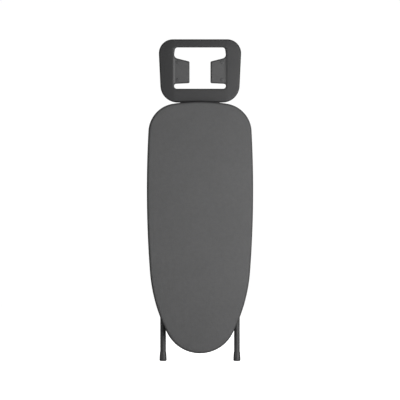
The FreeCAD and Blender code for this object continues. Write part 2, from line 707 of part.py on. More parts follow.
def make_pivot_plugs():
    plugs = []
    reach = OUTER_LEG_X + OUTER_TUBE_R / 2
    for side in (-1, 1):
        bung_reach = (side * (reach - PLUG_DEEP), side * reach)
        bung = rod_x(PIVOT_TUBE_R - TUBE_WALL, bung_reach, PIVOT_DEPTH, PIVOT_Z)
        lip = rod_x(PIVOT_TUBE_R, (side * reach, side * (reach + PLUG_LIP)), PIVOT_DEPTH, PIVOT_Z)
        plugs.append(fuse_all([bung, lip]).cut(outer_tube_body(side, OUTER_TUBE_R)))
    return group(plugs)


def make_outer_brace():
    reach = OUTER_LEG_X + OUTER_TUBE_R / 2
    hollow = reach - BRACE_END
    solid = rod_x(BRACE_R, (-reach, reach), OUTER_BRACE_DEPTH, OUTER_BRACE_UP)
    bore = rod_x(BRACE_R - TUBE_WALL, (-hollow, hollow), OUTER_BRACE_DEPTH, OUTER_BRACE_UP)
    brace = solid.cut(bore)
    return brace.cut(outer_tube_body(-1, OUTER_TUBE_R)).cut(outer_tube_body(1, OUTER_TUBE_R))


def make_inner_brace(z):
    brace = rod_x(BRACE_R, (-INNER_LEG_X, INNER_LEG_X), LEG_DEPTH, z)
    brace = brace.cut(rod_x(BRACE_R - TUBE_WALL, (-INNER_LEG_X, INNER_LEG_X), LEG_DEPTH, z))
    return brace.cut(inner_tube_body(-1, INNER_TUBE_R)).cut(inner_tube_body(1, INNER_TUBE_R))


def crossing_reach():
    """X of the nut face inside each inner tube and of the bolt head outside each outer tube."""
    return INNER_LEG_X - INNER_TUBE_R - FACE_CLEAR, OUTER_LEG_X + OUTER_TUBE_R


def make_crossing_bolts():
    bolts = []
    nut_face, head_face = crossing_reach()
    for side in (-1, 1):
        shank = rod_x(BOLT_R, (side * (nut_face - BOLT_HEAD_T), side * head_face), LEG_DEPTH, CROSS_Z)
        head = rod_x(BOLT_HEAD_R, (side * head_face, side * (head_face + BOLT_HEAD_T)), LEG_DEPTH, CROSS_Z)
        outside = side * (head_face + BOLT_HEAD_T)
        rim = [e for e in head.Edges if abs(e.BoundBox.Center.x - outside) < 0.1 and e.Length > BOLT_HEAD_R]
        bolts.append(fuse_all([shank, head.makeFillet(BOLT_HEAD_ROUND, rim)]))
    return group(bolts)


def make_crossing_nuts():
    nuts = []
    nut_face = crossing_reach()[0]
    for side in (-1, 1):
        corners = [(BOLT_HEAD_R * cos(pi * k / 3), BOLT_HEAD_R * sin(pi * k / 3)) for k in range(6)]
        x = side * nut_face
        wire = polygon(corners, lambda u, v: Vector(x, LEG_DEPTH + u, CROSS_Z + v))
        nut = Part.Face(wire).extrude(Vector(-side * NUT_T, 0, 0))
        nuts.append(nut.cut(rod_x(BOLT_R, (x, x - side * BOLT_HEAD_T), LEG_DEPTH, CROSS_Z)))
    return group(nuts)


def make_crossing_spacers():
    spacers = []
    inside = INNER_LEG_X + INNER_TUBE_R
    outside = OUTER_LEG_X - OUTER_TUBE_R - FACE_CLEAR
    for side in (-1, 1):
        ring = rod_x(SPACER_R, (side * INNER_LEG_X, side * outside), LEG_DEPTH, CROSS_Z)
        ring = ring.cut(rod_x(BOLT_R + PIN_CLEAR, (side * INNER_LEG_X, side * outside), LEG_DEPTH, CROSS_Z))
        spacers.append(ring.cut(inner_tube_body(side, INNER_TUBE_R)))
    return group(spacers)


# ---- Slider end ----
def make_knuckle(sign):
    """Moulded end of an inner tube, with an arm that carries the slider rod."""
    inside = sign * (KNUCKLE_OUT - KNUCKLE_W)
    outside = sign * KNUCKLE_OUT
    low = SLIDER_UP - KNUCKLE_R
    high = low + COLLAR_T
    collar = rod_z(INNER_TUBE_R, sign * INNER_LEG_X, LEG_DEPTH, (low, high))
    spigot = rod_z(INNER_TUBE_R - TUBE_WALL, sign * INNER_LEG_X, LEG_DEPTH, (high, high + SPIGOT_LENGTH))
    arm = box((inside, outside), (PIVOT_DEPTH, LEG_DEPTH + INNER_TUBE_R / 2), (low, high))
    eye = rod_x(KNUCKLE_R, (inside, outside), PIVOT_DEPTH, SLIDER_UP)
    bridge_depth = (LEG_DEPTH - INNER_TUBE_R, LEG_DEPTH + INNER_TUBE_R / 2)
    bridge = box((inside, sign * INNER_LEG_X), bridge_depth, (low, high))
    knuckle = fuse_all([collar, spigot, arm, eye, bridge])
    return knuckle.cut(rod_x(ROD_R, (inside, outside), PIVOT_DEPTH, SLIDER_UP))


def make_sleeves():
    sleeves = []
    for side in (-1, 1):
        reach = (side * (RAIL_X - SLEEVE_W / 2), side * (RAIL_X + SLEEVE_W / 2))
        ring = rod_x(SLEEVE_R, reach, PIVOT_DEPTH, SLIDER_UP)
        sleeves.append(ring.cut(rod_x(ROD_R, reach, PIVOT_DEPTH, SLIDER_UP)))
    return group(sleeves)


# ---- Height release ----
def make_comb():
    """Two toothed strips joined by a bridge above the slider rod's highest position."""
    low = slider_z(WORK_ANGLES[0]) - COMB_BELOW
    top = BRIDGE_Z + BRIDGE_W
    inside = COMB_OUT - COMB_T
    shapes = []
    for side in (-1, 1):
        strip = box((side * inside, side * COMB_OUT), (COMB_DEPTH, COMB_DEPTH + COMB_W), (low, top))
        for angle in WORK_ANGLES:
            z = slider_z(angle)
            strip = strip.cut(rod_x(NOTCH_R, (side * inside, side * COMB_OUT), COMB_DEPTH + COMB_W, z))
        shapes.append(strip)
    back = COMB_DEPTH + COMB_W
    shapes.append(box((-COMB_OUT, COMB_OUT), (back, back + BRIDGE_T), (BRIDGE_Z, top)))
    shapes.append(box((-BRIDGE_W / 2, BRIDGE_W / 2), (SPRING_DEPTH - SPRING_R, back), (top - BRIDGE_T, top)))
    return fuse_all(shapes)


def make_guides():
    """Moulded guides on the rails that the toothed strips slide through."""
    guides = []
    inside = COMB_OUT - COMB_T
    back = COMB_DEPTH + COMB_W / 2
    for z in (slider_z(WORK_ANGLES[0]) - COMB_BELOW / 2, (slider_z(WORK_ANGLES[3]) + SLIDER_TOP_Z) / 2):
        for side in (-1, 1):
            block = box((side * (inside - COMB_T), side * (COMB_OUT + FACE_CLEAR + RAIL_T)),
                        (MESH_T + RAIL_T, back), (z - PLUG_DEEP / 2, z + PLUG_DEEP / 2))
            way = box((side * (inside - FACE_CLEAR), side * (COMB_OUT + FACE_CLEAR)),
                      (COMB_DEPTH - FACE_CLEAR, back), (z - PLUG_DEEP, z + PLUG_DEEP))
            guides.append(block.cut(way))
    return group(guides)


def link_x():
    """X of the two faces of the link."""
    return COMB_OUT - CRANK_T, COMB_OUT


def crank_x():
    """X of the two faces of the crank, beside the link."""
    outside = COMB_OUT - CRANK_T - FACE_CLEAR
    return outside - CRANK_T, outside


def make_link():
    """Bar from the comb's bridge up to the crank, with the crank pin."""
    inside, outside = link_x()
    low = Vector(0, COMB_DEPTH + COMB_W + BRIDGE_T + LINK_W / 2, BRIDGE_Z + BRIDGE_W / 2)
    high = Vector(0, SHAFT_DEPTH + CRANK_LENGTH, SHAFT_Z)
    along = (high - low).normalize()
    across = Vector(0, along.z, -along.y) * (LINK_W / 2)
    corners = [low + across, high + across, high - across, low - across]
    wire = polygon([(p.y, p.z) for p in corners], lambda u, v: Vector(inside, u, v))
    bar = Part.Face(wire).extrude(Vector(outside - inside, 0, 0))
    eye = rod_x(LINK_W / 2, (inside, outside), high.y, high.z)
    foot = box((inside, outside), (low.y - LINK_W / 2, low.y), (BRIDGE_Z, BRIDGE_Z + BRIDGE_W))
    end = rod_x(LINK_W / 2, (inside, outside), low.y, low.z)
    pin = rod_x(LINK_PIN_R, (crank_x()[0] - LINK_PIN_PROUD, outside), high.y, high.z)
    return fuse_all([bar, eye, foot, end, pin])


def make_crank():
    """Arm on the lever shaft with a slot for the link's pin."""
    inside, outside = crank_x()
    hub = rod_x(CRANK_HUB_R, (inside, outside), SHAFT_DEPTH, SHAFT_Z)
    tip = SHAFT_DEPTH + CRANK_LENGTH + LINK_PIN_R + CRANK_TIP
    arm = box((inside, outside), (SHAFT_DEPTH, tip), (SHAFT_Z - CRANK_W / 2, SHAFT_Z + CRANK_W / 2))
    slot_r = LINK_PIN_R + CRANK_SLOT_CLEAR
    near = SHAFT_DEPTH + CRANK_LENGTH - CRANK_SLOT_IN
    far = SHAFT_DEPTH + CRANK_LENGTH + CRANK_SLOT_OUT
    ends = [rod_x(slot_r, (inside, outside), depth, SHAFT_Z) for depth in (near, far)]
    slot = fuse_all(ends + [box((inside, outside), (near, far), (SHAFT_Z - slot_r, SHAFT_Z + slot_r))])
    return fuse_all([hub, arm]).cut(slot).cut(rod_x(SHAFT_R, (inside, outside), SHAFT_DEPTH, SHAFT_Z))


def make_shaft():
    return rod_x(SHAFT_R, (crank_x()[0] - SHAFT_END, GRIP_OUT + GRIP_W / 2), SHAFT_DEPTH, SHAFT_Z)


def swung(shape):
    """Turn a lever piece about its shaft to where it stands at rest."""
    shape.rotate(Vector(0, SHAFT_DEPTH, SHAFT_Z), Vector(1, 0, 0), LEVER_STAND)
    return shape


def lever_plate():
    x = (GRIP_OUT - LEVER_PLATE_T / 2, GRIP_OUT + LEVER_PLATE_T / 2)
    z = (SHAFT_Z - LEVER_LENGTH + GRIP_T / 2, SHAFT_Z)
    blade = box(x, (SHAFT_DEPTH - LEVER_PLATE_W / 2, SHAFT_DEPTH + LEVER_PLATE_W / 2), z)
    return fuse_all([blade, rod_x(CRANK_HUB_R, x, SHAFT_DEPTH, SHAFT_Z)])


def make_lever_arm():
    arm = lever_plate()
    return swung(arm.cut(rod_x(SHAFT_R, (GRIP_OUT - GRIP_W, GRIP_OUT + GRIP_W), SHAFT_DEPTH, SHAFT_Z)))


def make_grip():
    x = (GRIP_OUT - GRIP_W / 2, GRIP_OUT + GRIP_W / 2)
    low = SHAFT_Z - LEVER_LENGTH
    grip = box(x, (SHAFT_DEPTH - GRIP_T / 2, SHAFT_DEPTH + GRIP_T / 2), (low, low + GRIP_LENGTH))
    grip = grip.makeFillet(GRIP_T / 3, grip.Edges)
    return swung(grip.cut(lever_plate()))


def make_lever_lugs():
    """Two plates on the middle bar that the lever's shaft turns in."""
    lugs = []
    bar_back = MESH_T + BAR_DEPTH
    foot_low = MID_BAR_Z - BAR_CREST_W / 2
    foot_top = MID_BAR_Z + BAR_CREST_W / 2
    for x in (crank_x()[0] - LINK_PIN_PROUD - 2 * LUG_T, LUG_X):
        foot = box((x - LUG_FOOT, x), (bar_back, bar_back + LUG_T), (foot_low, foot_top))
        front = SHAFT_DEPTH - CRANK_HUB_R
        back = SHAFT_DEPTH + CRANK_HUB_R
        side = [(foot_low, bar_back), (MID_BAR_Z + BAR_W / 2, bar_back), (MID_BAR_Z + BAR_W / 2, front)]
        side += [(SHAFT_Z + CRANK_HUB_R, front), (SHAFT_Z + CRANK_HUB_R, back), (foot_top, back)]
        side += [(foot_low, bar_back + LUG_T)]
        wire = polygon(side, lambda u, v: Vector(x - LUG_T, v, u))
        lug = fuse_all([foot, Part.Face(wire).extrude(Vector(LUG_T, 0, 0))])
        lugs.append(lug.cut(rod_x(SHAFT_R + PIN_CLEAR, (x - LUG_T, x), SHAFT_DEPTH, SHAFT_Z)))
    hook = box((-SPRING_TAIL / 2, SPRING_TAIL / 2), (MESH_T, MESH_T + BAR_DEPTH + LUG_T),
               (MID_BAR_Z - BAR_W / 2 - LUG_T, MID_BAR_Z - BAR_W / 2))
    return group(lugs + [hook])


def make_spring():
    """Tension spring between the comb's bridge and the middle bar."""
    low = BRIDGE_Z + BRIDGE_W
    top = MID_BAR_Z - BAR_W / 2 - LUG_T
    turns = int((top - low - 2 * SPRING_TAIL) / SPRING_PITCH)
    height = turns * SPRING_PITCH
    start = (low + top - height) / 2
    helix = Part.makeHelix(SPRING_PITCH, height, SPRING_R)
    section = Part.Wire(Part.makeCircle(SPRING_WIRE_R, Vector(SPRING_R, 0, 0), Vector(0, 1, 0)))
    coil = Part.Wire(helix).makePipeShell([section], True, True)
    coil.translate(Vector(0, SPRING_DEPTH, start))
    tails = [rod_z(SPRING_WIRE_R, SPRING_R, SPRING_DEPTH, (low, start + SPRING_WIRE_R))]
    tails.append(rod_z(SPRING_WIRE_R, SPRING_R, SPRING_DEPTH, (start + height - SPRING_WIRE_R, top)))
    return fuse_all([coil] + tails)


def main():
    os.makedirs("parts", exist_ok=True)
    save("board", "cover", make_cover())
    save("board", "pad", make_pad())
    save("board", "mesh_top", make_mesh_top())
    save("board", "rim_tube", make_rim())
    save("board", "nose_crossbar", make_bar(NOSE_BAR_Z))
    save("board", "middle_crossbar", make_bar(MID_BAR_Z))
    save("board", "tail_crossbar", make_bar(TAIL_BAR_Z))
    rail = make_rail()
    bush = make_pivot_bush()
    save("board", "slide_rail_right", rail)
    save("board", "slide_rail_left", mirrored(rail))
    save("board", "pivot_bush_right", bush)
    save("board", "pivot_bush_left", mirrored(bush))
    save("board", "rail_rivets", make_rail_rivets())
    save("board", "comb_guides", make_guides())
    save("board", "lever_lugs", make_lever_lugs())
    save("board", "iron_rest", make_iron_rest())
    save("board", "rest_studs", make_rest_studs())
    save("board", "stud_washers", make_stud_washers())
    save("board", "rod_clamps", make_rod_clamps())
    save("board", "clamp_screws", make_clamp_screws())
    save("outer_leg", "pivot_tube", make_pivot_tube())
    save("outer_leg", "pivot_tube_plugs", make_pivot_plugs())
    save("outer_leg", "outer_brace", make_outer_brace())
    save("outer_leg", "crossing_bolts", make_crossing_bolts())
    save("outer_leg", "crossing_nuts", make_crossing_nuts())
    tube_top = PIVOT_Z + TUBE_TOP_UP
    plugs = [make_plug(OUTER_TUBE_R, side * OUTER_LEG_X, LEG_DEPTH, tube_top) for side in (-1, 1)]
    save("outer_leg", "outer_tube_plugs", group(plugs))
    for sign, side in ((1, "right"), (-1, "left")):
        save("board", "rest_rod_" + side, rest_rod(sign))
        save("outer_leg", "outer_tube_" + side, make_outer_tube(sign))
        save("outer_leg", "outer_foot_" + side, make_foot(sign * OUTER_LEG_X, LEG_DEPTH, 0, 1, OUTER_TUBE_R))
        save("inner_leg", "inner_tube_" + side, make_inner_tube(sign))
        foot = make_foot(sign * INNER_LEG_X, LEG_DEPTH, INNER_FOOT_Z, -1, INNER_TUBE_R)
        save("inner_leg", "inner_foot_" + side, foot)
        save("inner_leg", "slider_knuckle_" + side, make_knuckle(sign))
    save("inner_leg", "slider_end_brace", make_inner_brace(SLIDER_UP + INNER_BRACE_IN))
    save("inner_leg", "foot_end_brace", make_inner_brace(INNER_FOOT_Z - INNER_BRACE_IN))
    save("inner_leg", "crossing_spacers", make_crossing_spacers())
    save("inner_leg", "slider_rod", rod_x(ROD_R, (-KNUCKLE_OUT, KNUCKLE_OUT), PIVOT_DEPTH, SLIDER_UP))
    save("inner_leg", "slider_sleeves", make_sleeves())
    save("release_slide", "release_comb", make_comb())
    save("release_slide", "release_link", make_link())
    save("release_slide", "return_spring", make_spring())
    save("height_lever", "lever_shaft", make_shaft())
    save("height_lever", "lever_crank", make_crank())
    save("height_lever", "lever_arm", make_lever_arm())
    save("height_lever", "lever_grip", make_grip())
    print("pivot", 0, PIVOT_DEPTH - DEPTH_MIDDLE, PIVOT_Z)
    print("crossing", 0, LEG_DEPTH - DEPTH_MIDDLE, CROSS_Z)
    print("lever shaft", GRIP_OUT, SHAFT_DEPTH - DEPTH_MIDDLE, SHAFT_Z)
    print("slide per radian of lever", CRANK_LENGTH, "mm; spring top", MID_BAR_Z - BAR_W / 2 - LUG_T)


main()
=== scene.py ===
# Ironing board, folded and upright: looks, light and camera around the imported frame. Metres.
# +X right, +Z up, -Y is the side that is ironed on.
import json
import math
import bmesh
import bpy
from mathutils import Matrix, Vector, noise


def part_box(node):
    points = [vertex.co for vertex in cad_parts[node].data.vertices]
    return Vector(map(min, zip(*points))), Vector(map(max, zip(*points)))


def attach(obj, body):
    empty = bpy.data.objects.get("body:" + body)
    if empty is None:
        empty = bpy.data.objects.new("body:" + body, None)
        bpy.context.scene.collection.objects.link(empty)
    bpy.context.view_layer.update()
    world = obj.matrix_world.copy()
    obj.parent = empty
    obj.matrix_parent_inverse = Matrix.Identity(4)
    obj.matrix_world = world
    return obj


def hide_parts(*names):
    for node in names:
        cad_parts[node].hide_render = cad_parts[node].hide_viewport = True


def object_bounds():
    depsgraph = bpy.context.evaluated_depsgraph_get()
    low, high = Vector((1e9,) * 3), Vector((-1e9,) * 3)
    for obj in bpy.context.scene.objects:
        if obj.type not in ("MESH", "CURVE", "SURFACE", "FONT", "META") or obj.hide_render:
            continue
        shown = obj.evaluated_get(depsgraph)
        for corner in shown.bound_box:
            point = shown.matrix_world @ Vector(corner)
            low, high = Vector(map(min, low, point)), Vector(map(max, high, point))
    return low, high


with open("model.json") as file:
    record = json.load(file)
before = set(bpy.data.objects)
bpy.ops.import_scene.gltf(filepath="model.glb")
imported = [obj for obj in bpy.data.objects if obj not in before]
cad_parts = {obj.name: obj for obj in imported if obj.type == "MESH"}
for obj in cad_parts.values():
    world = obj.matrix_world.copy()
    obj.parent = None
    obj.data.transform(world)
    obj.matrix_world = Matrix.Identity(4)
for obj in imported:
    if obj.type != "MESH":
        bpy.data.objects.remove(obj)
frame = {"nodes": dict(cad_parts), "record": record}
cad_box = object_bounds()
COVER_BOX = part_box("cover")
REST_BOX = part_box("iron_rest")

# ---- Board outline ----
NOSE_RADIUS = 0.157
CORNER_RADIUS = 0.125
NOSE_TURN = -27.2                      # direction of the outline where each arc ends, degrees
FLANK_TURN = -4.3
SIDE_TURN = 3.1
CORNER_TURN = 81.0
ARC_STEPS = (26, 44, 84, 30, 18)       # points along the nose, flank, side, corner and tail arcs
SPINE_END = 0.8 * NOSE_RADIUS          # the middle line of the board's face stops this far from its ends

# ---- Cover and pad ----
FRONT_ROUND = 0.0115                   # rounding of the padded edge
FRONT_RINGS = 26
BACK_ROUND = 0.005
HEM_REACH = 0.028
HEM_ROLL = 0.0016
HEM_STEPS = 6
GATHERS = 150                          # gathers round the whole hem
GATHER_DEPTH = 0.0016
GATHER_WANDER = 9                      # how unevenly the gathers are spread
WANDER_SCALE = 9                       # and how often that changes round the hem
GATHER_VARY = 0.45                     # how unevenly deep the gathers are
VARY_SCALE = 21                        # and how often that changes
PAD_INSET = 0.0022
PAD_GAP = 0.0004                       # between the pad and the front of its space
PAD_ROUND = 0.012                      # rounding of the pad's edge, across
PAD_ROUND_SHARE = 0.85                 # and as a share of its thickness
PAD_RINGS = 16

# ---- Mesh top: a sheet of diamond openings ----
STRAND_T = 0.0011
STRAND_W = 0.0026
CELL_W = 0.026
CELL_H = 0.0125
RIM_INSET = 0.012                      # from the outline to the outermost openings

# ---- Iron rest ----
REST_WIDTH_TOP = 0.3595
REST_WIDTH_LOW = 0.334
REST_CORNER_TOP = 0.060
REST_CORNER_LOW = 0.074
REST_CORNER_STEPS = 22
REST_BAR_TOP = 0.0354
REST_BAR_LOW = 0.059
REST_WINDOW = 0.111                    # half the width of the window
REST_T = 0.0015
REST_ROUND = 0.0068                    # rolled edges, across
REST_ROUND_DEEP = 0.0048               # and deep
REST_EDGE_IN = 0.001                   # flat border inside each rolled edge
REST_FALL_SIDE = 0.0065                # how far the face falls back towards its sides
REST_FALL_TOP = 0.002                  # and towards its top
REST_FALL_CURVE = 1.3
REST_LIP = 0.006
REST_SPACING = 0.008                   # between points along a straight run of the outer edge
WINDOW_SPACING = 0.006
WINDOW_LOW_ROUND = 0.0115
WINDOW_TOP_ROUND = 0.012
WINDOW_TOP_IN = 0.004                  # how much narrower the window is at its top, each side
WINDOW_CORNER_STEPS = 8
TAB_IN = 0.045                         # inner end of each tab, from the middle
TAB_STEP = 0.005                       # how far the tabs are pressed back
TAB_SLOPE = 0.009                      # width of the pressed step
TAB_SLOPE_IN = 0.34                    # share of the step that lies inside the window's side
TAB_FADE = 0.006                       # height over which the step runs out above and below
TAB_LOW_UP = 0.021
TAB_LOW_RISE = 0.003
TAB_TOP_DOWN = 0.038
TAB_TOP_DROP = 0.005
TAB_TOP_OUT = 0.0015
TAB_DIP = 0.022
TAB_ROUND = 0.006
TAB_ROOT_ROUND_LOW = 0.009
TAB_ROOT_ROUND_TOP = 0.017
TAB_MARGIN = 0.005                     # how far the tabs' finish reaches past the window's side
FLAT_CUT = 0.010                       # cuts made inside the window's ends,
SIDE_CUT = 0.010                       # from its sides outward
TOP_CUT = 0.009                        # and from its top upward

# ---- Finishes ----
COTTON_GREY = (0.097, 0.097, 0.098, 1)
FELT_WHITE = (0.62, 0.60, 0.56, 1)
FRAME_DARK = (0.030, 0.030, 0.031, 1)
REST_DARK = (0.032, 0.032, 0.033, 1)
TAB_GREY = (0.072, 0.072, 0.073, 1)
# painted highlight: the bright line where each tab's pressed step catches the light
STEP_HIGHLIGHT_GREY = (0.17, 0.17, 0.172, 1)
MESH_GREY = (0.45, 0.45, 0.45, 1)
ZINC_GREY = (0.60, 0.60, 0.58, 1)
MOULDING_BLACK = (0.022, 0.022, 0.023, 1)
FOOT_BLACK = (0.033, 0.033, 0.034, 1)
SCUFF_GREY = (0.20, 0.20, 0.20, 1)
PAPER_WHITE = (0.60, 0.60, 0.60, 1)
GRAIN_DEPTH = 0.0002                   # relief of the grain, and of the zinc's
ZINC_DEPTH = 0.0001
COAT_GRAIN = 1100.0                    # scale of the grain in powder coat and foot plastic
REST_GRAIN = 1000.0                    # in the iron rest's coat
PLASTIC_GRAIN = 900.0                  # in moulded plastic and the studs' coat
ZINC_GRAIN = 1500.0

# ---- Light and camera ----
LIGHTS = (                             # name, place, aim height (None: the middle), size, power
    ("key_light", (1.3, -1.7, 0.75), 0.70, 1.2, 50),
    ("fill_light", (-2.2, -2.0, 0.7), None, 1.4, 12),
    ("back_light", (1.6, 3.2, 1.9), None, 2.5, 80),
    ("top_light", (0, 0, 4.6), 0, 4.0, 60),
)
FLOOR_HALF = 6.0
FLOOR_GAP = 0.0005                     # between the floor and the feet
WORLD_LIGHT = 0.05                     # strength of the white surround as light
WORLD_SEEN = 0.96                      # and what is added where it is looked at
SENSOR_WIDTH = 36.0
CAMERA_DISTANCE = 12.0
VIEW_WIDTH = 1.714
VIEW_HEIGHT = 0.6923


# ---- Mesh helpers ----
def new_object(name, data):
    """Object for a mesh, lamp or camera, put in the scene."""
    obj = bpy.data.objects.new(name, data)
    bpy.context.scene.collection.objects.link(obj)
    return obj


def mesh_from_bmesh(name, bm):
    """Smooth-shaded object from a bmesh."""
    mesh = bpy.data.meshes.new(name)
    bm.to_mesh(mesh)
    bm.free()
    for polygon in mesh.polygons:
        polygon.use_smooth = True
    return new_object(name, mesh)


def face_forward(obj):
    """Turn the normals round if the largest face, at the front, looks back."""
    if max(obj.data.polygons, key=lambda p: p.area).normal.y > 0:
        obj.data.flip_normals()


def add_rings(bm, rings):
    """Skin of quads through rings of points; returns the rings' vertices."""
    rows = [[bm.verts.new(point) for point in ring] for ring in rings]
    for a, b in zip(rows, rows[1:]):
        count = len(a)
        for i in range(count):
            j = (i + 1) % count
            bm.faces.new((a[i], a[j], b[j], b[i]))
    return rows


def apply_modifier(obj, kind, **settings):
    """Add a modifier and leave its result in the mesh."""
    modifier = obj.modifiers.new(kind.title(), kind)
    for key, value in settings.items():
        setattr(modifier, key, value)
    graph = bpy.context.evaluated_depsgraph_get()
    result = bpy.data.meshes.new_from_object(obj.evaluated_get(graph))
    obj.modifiers.clear()
    old = obj.data
    obj.data = result
    bpy.data.meshes.remove(old)
    return obj


def smooth_by_angle(obj, degrees):
    """Smooth shading, with edges sharper than the angle kept crisp."""
    bm = bmesh.new()
    bm.from_mesh(obj.data)
    for face in bm.faces:
        face.smooth = True
    limit = math.radians(degrees)
    for edge in bm.edges:
        if len(edge.link_faces) == 2:
            edge.smooth = edge.calc_face_angle(0) < limit
    bm.to_mesh(obj.data)
    bm.free()
    return obj


def ease(t):
    """Smooth step from 0 to 1."""
    t = min(1.0, max(0.0, t))
    return t * t * (3 - 2 * t)


# ---- Board outline: nose, flank, side, corner and tail arcs, each tangent to the next ----
def board_arcs():
    """Centre, radius, first and last direction of each arc of the right-hand half."""
    low, high = COVER_BOX
    half = (high.x - low.x) / 2
    length = high.z - low.z
    turns = [math.radians(t) for t in (NOSE_TURN, FLANK_TURN, SIDE_TURN, CORNER_TURN)]
    c = [math.cos(t) for t in turns]
    s = [math.sin(t) for t in turns]
    width_low = half - NOSE_RADIUS * c[0]
    width_top = half - CORNER_RADIUS * (c[2] - c[3])
    rise = length - NOSE_RADIUS * (s[0] + 1) - CORNER_RADIUS * (s[3] - s[2])
    a, b, d, e = c[1] - c[0], 1 - c[1], 1 - c[2], c[3]
    f, g, h = s[1] - s[0], s[2] - s[1], 1 - s[3]
    side = (rise - f * width_low / a - h * width_top / e) / (g - f * b / a - h * d / e)
    flank = (width_low - b * side) / a
    tail = (width_top - d * side) / e
    radii = [NOSE_RADIUS, flank, side, CORNER_RADIUS, tail]
    limits = [-math.pi / 2] + turns + [math.pi / 2]
    centre = Vector((0, 0, low.z + NOSE_RADIUS))
    arcs = []
    for i, radius in enumerate(radii):
        if i:
            out = Vector((math.cos(limits[i]), 0, math.sin(limits[i])))
            centre = centre + out * (radii[i - 1] - radius)
        arcs.append((centre.copy(), radius, limits[i], limits[i + 1]))
    return arcs


BOARD_ARCS = board_arcs()


def board_stations():
    """Points right round the outline, each with its outward direction."""
    right = []
    for (centre, radius, first, last), steps in zip(BOARD_ARCS, ARC_STEPS):
        for i in range(steps):
            turn = first + (last - first) * i / steps
            out = Vector((math.cos(turn), 0, math.sin(turn)))
            right.append((centre + out * radius, out))
    apex = (Vector((0, 0, COVER_BOX[1].z)), Vector((0, 0, 1)))
    left = [(Vector((-p.x, 0, p.z)), Vector((-n.x, 0, n.z))) for p, n in reversed(right[1:])]
    return right + [apex] + left


STATIONS = board_stations()


def board_ring(inset, depth):
    """The outline drawn in by an inset, at a depth."""
    return [Vector((0, depth, 0)) + point - out * inset for point, out in STATIONS]


def spine_point(point):
    """Nearest point to this one on the board's middle line."""
    low, high = COVER_BOX
    return Vector((0, 0, min(high.z - SPINE_END, max(low.z + SPINE_END, point.z))))


def flat_rings(inset, depth, steps):
    """Rings that close a flat face from its middle line out to an inset."""
    rings = []
    for k in range(steps):
        share = (k + 1) / (steps + 1)
        ring = []
        for point, out in STATIONS:
            edge = point - out * inset
            place = spine_point(point).lerp(edge, share)
            place.y = depth
            ring.append(place)
        rings.append(ring)
    return rings


def close_middle(bm, row):
    """Fill the narrow gap left round the middle line."""
    edges = []
    for i, vert in enumerate(row):
        following = row[(i + 1) % len(row)]
        edge = bm.edges.get((vert, following)) or bm.edges.new((vert, following))
        edges.append(edge)
    bmesh.ops.triangle_fill(bm, edges=edges, use_beauty=True, use_dissolve=False)


# ---- Cover and pad ----
def gather(index, inset):
    """Height of the hem's gathers at a station, growing towards the hem's free edge."""
    turn = 2 * math.pi * index / len(STATIONS)
    around = Vector((math.cos(turn), math.sin(turn), 0))
    wander = noise.noise(around * WANDER_SCALE + Vector((0, 0, 3)))
    size = 1 - GATHER_VARY + GATHER_VARY * noise.noise(around * VARY_SCALE + Vector((0, 0, 8)))
    wave = math.sin(turn * GATHERS + wander * GATHER_WANDER)
    return GATHER_DEPTH * size * wave * ease((inset - BACK_ROUND) / (HEM_REACH - BACK_ROUND))


def gathered_ring(inset, depth, reach):
    """Ring of the hem, raised and lowered by the gathers that belong to a reach."""
    return [p + Vector((0, gather(i, reach), 0)) for i, p in enumerate(board_ring(inset, depth))]


def round_steps(count):
    """Turns from 0 to a right angle, first and last included."""
    return [math.radians(90 * k / (count - 1)) for k in range(count)]


def cover_rings():
    """Rings from the middle of the face, over the padded edge and round to the hem's rolled end."""
    low, high = COVER_BOX
    front = low.y
    back = high.y
    rings = flat_rings(FRONT_ROUND * 2, front, FRONT_RINGS)
    rings.append(board_ring(FRONT_ROUND * 1.4, front))
    for turn in round_steps(8):
        inset = FRONT_ROUND * (1 - math.sin(turn))
        rings.append(board_ring(inset, front + FRONT_ROUND * (1 - math.cos(turn))))
    side = back - BACK_ROUND - front - FRONT_ROUND
    for share in (0.3, 0.65):
        rings.append(board_ring(0, front + FRONT_ROUND + side * share))
    for turn in round_steps(6):
        inset = BACK_ROUND * (1 - math.cos(turn))
        rings.append(board_ring(inset, back - BACK_ROUND + BACK_ROUND * math.sin(turn)))
    for k in range(1, HEM_STEPS + 1):
        inset = BACK_ROUND + (HEM_REACH - BACK_ROUND) * k / HEM_STEPS
        rings.append(gathered_ring(inset, back, inset))
    for k in range(1, 6):
        turn = math.radians(180 * k / 5)
        inset = HEM_REACH + HEM_ROLL * math.sin(turn)
        depth = back - HEM_ROLL * (1 - math.cos(turn))
        rings.append(gathered_ring(inset, depth, HEM_REACH))
    return rings


def make_cover():
    """Cloth cover: one open skin over the pad and rim, ending in a gathered hem at the back."""
    bm = bmesh.new()
    rows = add_rings(bm, cover_rings())
    close_middle(bm, rows[0])
    bmesh.ops.recalc_face_normals(bm, faces=bm.faces)
    cover = mesh_from_bmesh("cloth_cover", bm)
    face_forward(cover)
    return cover


def make_pad():
    """Felt pad: a closed form that lies on the mesh and rounds over at the edge."""
    low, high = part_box("pad")
    deep = (high.y - low.y) * PAD_ROUND_SHARE
    front = low.y + PAD_GAP
    rings = flat_rings(PAD_ROUND * 2, front, PAD_RINGS)
    for turn in round_steps(7):
        inset = PAD_INSET + PAD_ROUND * (1 - math.sin(turn))
        rings.append(board_ring(inset, front + deep * (1 - math.cos(turn))))
    rings.append(board_ring(PAD_INSET, high.y))
    rings += list(reversed(flat_rings(PAD_ROUND * 2, high.y, PAD_RINGS)))
    bm = bmesh.new()
    rows = add_rings(bm, rings)
    close_middle(bm, rows[0])
    close_middle(bm, rows[-1])
    bmesh.ops.recalc_face_normals(bm, faces=bm.faces)
    return mesh_from_bmesh("felt_pad", bm)


